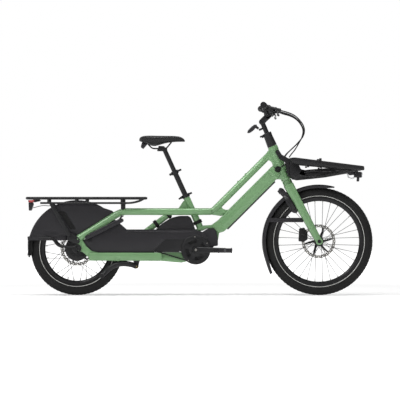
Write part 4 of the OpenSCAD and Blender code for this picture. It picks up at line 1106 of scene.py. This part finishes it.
# Front carrier, headlight, grommet ----------------------------------------------------------------
DECK = Matrix.Translation(place(1262, 0, 804)) @ Matrix.Rotation(math.atan2(52, 432), 4, "Y")
DECK_LEN = math.hypot(432, 52)
bm = bmesh.new()
for side in (1, -1):
    y0, y1 = span(side, 148, 170)
    plate(bm, [rounded([(1264, 796), (1268, 816), (1292, 817), (1698, 766), (1700, 742), (1684, 740),
                        (1318, 774), (1282, 782)], 7)],
          y0, y1, 6)
    y0, y1 = span(side, 46, 58)
    plate(bm, [rounded([(1324, 738), (1370, 746), (1505, 757), (1600, 752), (1624, 726), (1475, 700),
                        (1386, 690), (1302, 683)], 8)],
          y0, y1, 3)
    plate(bm, [rounded([(1262, 812), (1302, 808), (1330, 748), (1366, 742), (1366, 688), (1300, 682),
                        (1264, 708)], 8)], y0, y1, 3)
    plate(bm, [rounded([(1352, 706), (1388, 704), (1480, 713), (1596, 738), (1590, 745), (1480, 732),
                        (1390, 728), (1356, 722)], 6)],
          *span(side, 57, 60.5), 1.5)
    sweep(bm, bent([(1350, side * 60, 728), (1392, side * 64, 738), (1470, side * 66, 732),
                    (1610, side * 60, 742)], 30), 5, 14)
    sweep(bm, bent([(1310, side * 52, 712), (1420, side * 66, 700), (1560, side * 110, 724),
                    (1640, side * 150, 744)], 70), 7, 16)
    sweep(bm, [(1560, side * 52, 745), (1560, side * 52, 770)], 7, 16)
    y0, y1 = span(side, 24, 34)
    plate(bm, [capsule((1662, 728), (1658, 752), 10), ring((1662, 728), 5.2, 24)], y0, y1, 1.5)
    plate(bm, [rounded([(0, side * 30), (DECK_LEN, side * 30), (DECK_LEN, side * 46), (0, side * 46)][::side],
                       2)],
          -3, 3, 1, DECK @ Matrix.Translation((0, 0, -0.003)))
for i in range(6):
    x = i * (DECK_LEN - 26) / 5
    plate(bm, [rounded([(x, -150), (x + 26, -150), (x + 26, 150), (x, 150)], 4)], -6, 6, 3,
          DECK @ Matrix.Translation((0, 0, 0.006)))
piece("front_carrier_deck", bm, SATIN, "frame", "satin_metal", "front_carrier")
bm = bmesh.new()
for side in (1, -1):
    for x, z in ((1368, 762), (1444, 755)):
        sweep(bm, [(x, side * 159, z), (x, side * 159, z - 3), (x, side * 159, z + 6)], [3, 6, 6], 16)
    sweep(bm, [(1440, side * 166, 798), (1440, side * 166, 812)], [8, 7], 20)
    bolt(bm, (1257, side * 50, 712), (0, side, 0), 7, 4)
    bolt(bm, (1210, side * 44, 826), (0, side, 0), 5, 3)
    bolt(bm, (1284, side * 44, 790), (0, side, 0), 5, 3)
    bolt(bm, (1300, side * 44, 702), (0, side, 0), 5, 3)
piece("carrier_fittings", bm, SATIN, "frame", "satin_metal")

bm = bmesh.new()
plate(bm, [rounded([(1646, 700), (1649, 732), (1690, 735), (1694, 698)], 8)], -22, 22, 6)
plate(bm, [rounded([(1662, 676), (1664, 704), (1680, 704), (1678, 676)], 3)], -6, 6, 2)
sweep(bm, [(1662, -31, 728), (1662, 31, 728)], 4.9, 20)
plate(bm, [rounded([(1604, 724), (1606, 736), (1650, 738), (1652, 716), (1622, 712)], 6)], -14, 14, 4)
piece("headlight_housing", bm, PLASTIC, "lamp", "moulded_plastic", "headlight")
bm = bmesh.new()
rows = []
for x, r in ((1690, 15), (1694, 15.5), (1696, 14.5), (1697.5, 10), (1698, 4)):
    rows.append([(x, r * math.cos(t), 717 + r * math.sin(t))
                 for t in (2 * math.pi * k / 32 for k in range(32))])
skin(bm, rows)
for side in (1, -1):
    sweep(bm, bent([(1608, side * 15, 722), (1612, side * 16, 702), (1634, side * 17, 692),
                    (1650, side * 18, 700)], 12), 4, 14)
piece("headlight_lens", bm, LAMP_GLASS_AND_HIGHLIGHT, "lamp", "moulded_plastic")
bm = bmesh.new()
lathe(bm, [(4, -31), (4, -37), (13, -38), (17, -36), (18.5, -33), (18.5, -30), (4, -30)], (1193, 748), 32)
lathe(bm, [(4, 31), (4, 37), (13, 38), (17, 36), (18.5, 33), (18.5, 30), (4, 30)], (1193, 748), 32)
piece("cable_grommets", bm, RUBBER, "frame", "moulded_plastic")

# Brake hoses and cables, each in three lengths
HOSE_R = 3.5


def cable(name, points, r=HOSE_R):
    path = curve(points, 8)
    n = len(path)
    spans = (("upper", 0, int(n * 0.3), "bars", "bar_post"),
             ("middle", int(n * 0.3), int(n * 0.6), "bar_post", "fork"),
             ("lower", int(n * 0.6), n - 1, "fork", "frame"))
    for part, i, j, a, b in spans:
        run = path[i:j + 1]
        bm = bmesh.new()
        sweep(bm, run, r, 12)
        obj = piece(f"{name}_{part}", bm, GRIP, None, "grip_rubber")
        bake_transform(obj)
        if part == "upper":
            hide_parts("hoses")


RIGHT = [(1204, -152, 1094), (1230, -140, 1088), (1262, -110, 1079), (1291, -80, 1066), (1320, -50, 1042),
         (1343, -25, 1012),
         (1352, -8, 980), (1344, 4, 945), (1316, 14, 908), (1280, 22, 872), (1252, 26, 845), (1236, 28, 822)]
LEFT = [(1204, 152, 1092), (1230, 140, 1082), (1262, 110, 1072), (1291, 80, 1058), (1318, 55, 1035),
        (1338, 40, 1004),
        (1345, 30, 975), (1338, 22, 940), (1320, 18, 905), (1296, 12, 865), (1274, 8, 838), (1262, 6, 820)]
cable("right_brake_hose", RIGHT)
cable("left_brake_hose", LEFT)
cable("right_wire", [(x - 3 - 4 * i / 11, y + 8, z - 7 + 3 * i / 11) for i, (x, y, z) in enumerate(RIGHT)],
      2.8)
cable("left_cable", [(x + 2, y - 9, z + 5 - 2 * i / 11) for i, (x, y, z) in enumerate(LEFT)], 2.8)
for name, side in (("right_headset_lead", -1), ("left_headset_lead", 1)):
    line = curve([(1193, side * 36, 748), (1204, side * 42, 757), (1222, side * 44, 768),
                  (1240, side * 40, 779), (1254, side * 30, 792)], 8)
    bm = bmesh.new()
    sweep(bm, line, 3.8, 12)
    piece(name, bm, GRIP, "frame", "grip_rubber")

# Levers on the seat tube's collar and on the seat post's collar
for name, body, low in (("seat_collar_levers", "frame", 0), ("post_collar_levers", "seat_outer", 152)):
    bm = bmesh.new()
    sweep(bm, [seat(20, 0, low + 8), seat(34, 0, low + 8), seat(42, 0, low + 8)], [5.5, 6, 5.2], 20)
    sweep(bm, [seat(-20, 0, low + 7), seat(-29, 0, low + 7), seat(-36, 0, low + 7)], [6, 6.4, 5.4], 20)
    piece(name, bm, SATIN, body, "satin_metal")


# Studio -------------------------------------------------------------------------------------------
FLOOR = material("studio_floor", (0.86, 0.86, 0.86), 0.7, grain=40, bump=0.02, tone=0.01)
glow = FLOOR.node_tree.nodes["Principled BSDF"]
glow.inputs["Emission Color"].default_value = (1, 1, 1, 1)
nodes, links = FLOOR.node_tree.nodes, FLOOR.node_tree.links
floor_point = nodes.new("ShaderNodeTexCoord")
distance = nodes.new("ShaderNodeVectorMath")
distance.operation = "LENGTH"
lift = nodes.new("ShaderNodeMapRange")
lift.inputs["From Min"].default_value = 2.2
lift.inputs["From Max"].default_value = 5.0
lift.inputs["To Min"].default_value = 0.3
lift.inputs["To Max"].default_value = 1.0
links.new(floor_point.outputs["Object"], distance.inputs[0])
links.new(distance.outputs["Value"], lift.inputs["Value"])
links.new(lift.outputs["Result"], glow.inputs["Emission Strength"])
bm = bmesh.new()
FLOOR_HALF = 14.0
profile = [(y, 0.0) for y in (-FLOOR_HALF, -6.0, 0.0, 6.0, FLOOR_HALF)]
rows = [[bm.verts.new((x, y, z - 0.0004)) for y, z in profile] for x in (-FLOOR_HALF, FLOOR_HALF)]
for j in range(len(profile) - 1):
    bm.faces.new((rows[0][j], rows[1][j], rows[1][j + 1], rows[0][j + 1]))
for face in bm.faces:
    face.smooth = True
mesh = bpy.data.meshes.new("studio_floor")
bm.to_mesh(mesh)
bm.free()
floor = bpy.data.objects.new("studio_floor", mesh)
mesh.materials.append(FLOOR)
bpy.context.scene.collection.objects.link(floor)

world = bpy.data.worlds.new("studio")
world.use_nodes = True
world.node_tree.nodes["Background"].inputs["Color"].default_value = (1, 1, 1, 1)
world.node_tree.nodes["Background"].inputs["Strength"].default_value = 0.24
backdrop = world.node_tree.nodes.new("ShaderNodeBackground")
backdrop.inputs["Color"].default_value = (1, 1, 1, 1)
seen = world.node_tree.nodes.new("ShaderNodeLightPath")
pick = world.node_tree.nodes.new("ShaderNodeMixShader")
world.node_tree.links.new(seen.outputs["Is Camera Ray"], pick.inputs["Fac"])
world.node_tree.links.new(world.node_tree.nodes["Background"].outputs[0], pick.inputs[1])
world.node_tree.links.new(backdrop.outputs[0], pick.inputs[2])
world.node_tree.links.new(pick.outputs[0], world.node_tree.nodes["World Output"].inputs[0])
bpy.context.scene.world = world
bpy.context.scene.view_settings.view_transform = "Standard"


def light(name, at, size, power, aim=(0, 0, 0.5)):
    data = bpy.data.lights.new(name, "AREA")
    data.shape = "RECTANGLE"
    data.size, data.size_y = size
    data.energy = power
    lamp = bpy.data.objects.new(name, data)
    lamp.location = at
    lamp.rotation_euler = (Vector(aim) - Vector(at)).to_track_quat("-Z", "Y").to_euler()
    bpy.context.scene.collection.objects.link(lamp)


light("key", (-2.4, -2.6, 3.8), (2.0, 1.0), 54)
light("fill", (3.0, -3.6, 1.4), (1.6, 2.6), 5)
light("top", (0, -0.5, 3.1), (5.0, 0.6), 75)
light("floor_wash", (0, -6.8, 3.0), (14, 4.6), 190, (0, -6.8, 0))
light("back_wash", (0, 3.4, 3.0), (9, 2.4), 60, (0, 3.4, 0))

CAMERA_DISTANCE = 16.0
VIEW_WIDTH = 2.38
view = bpy.data.cameras.new("camera")
view.sensor_width = 36
view.lens = 36 * CAMERA_DISTANCE / VIEW_WIDTH
view.clip_end = 100
camera = bpy.data.objects.new("camera", view)
camera.location = (0.004, -CAMERA_DISTANCE, 0.566)
camera.rotation_euler = (math.pi / 2, 0, 0)
bpy.context.scene.collection.objects.link(camera)
bpy.context.scene.camera = camera
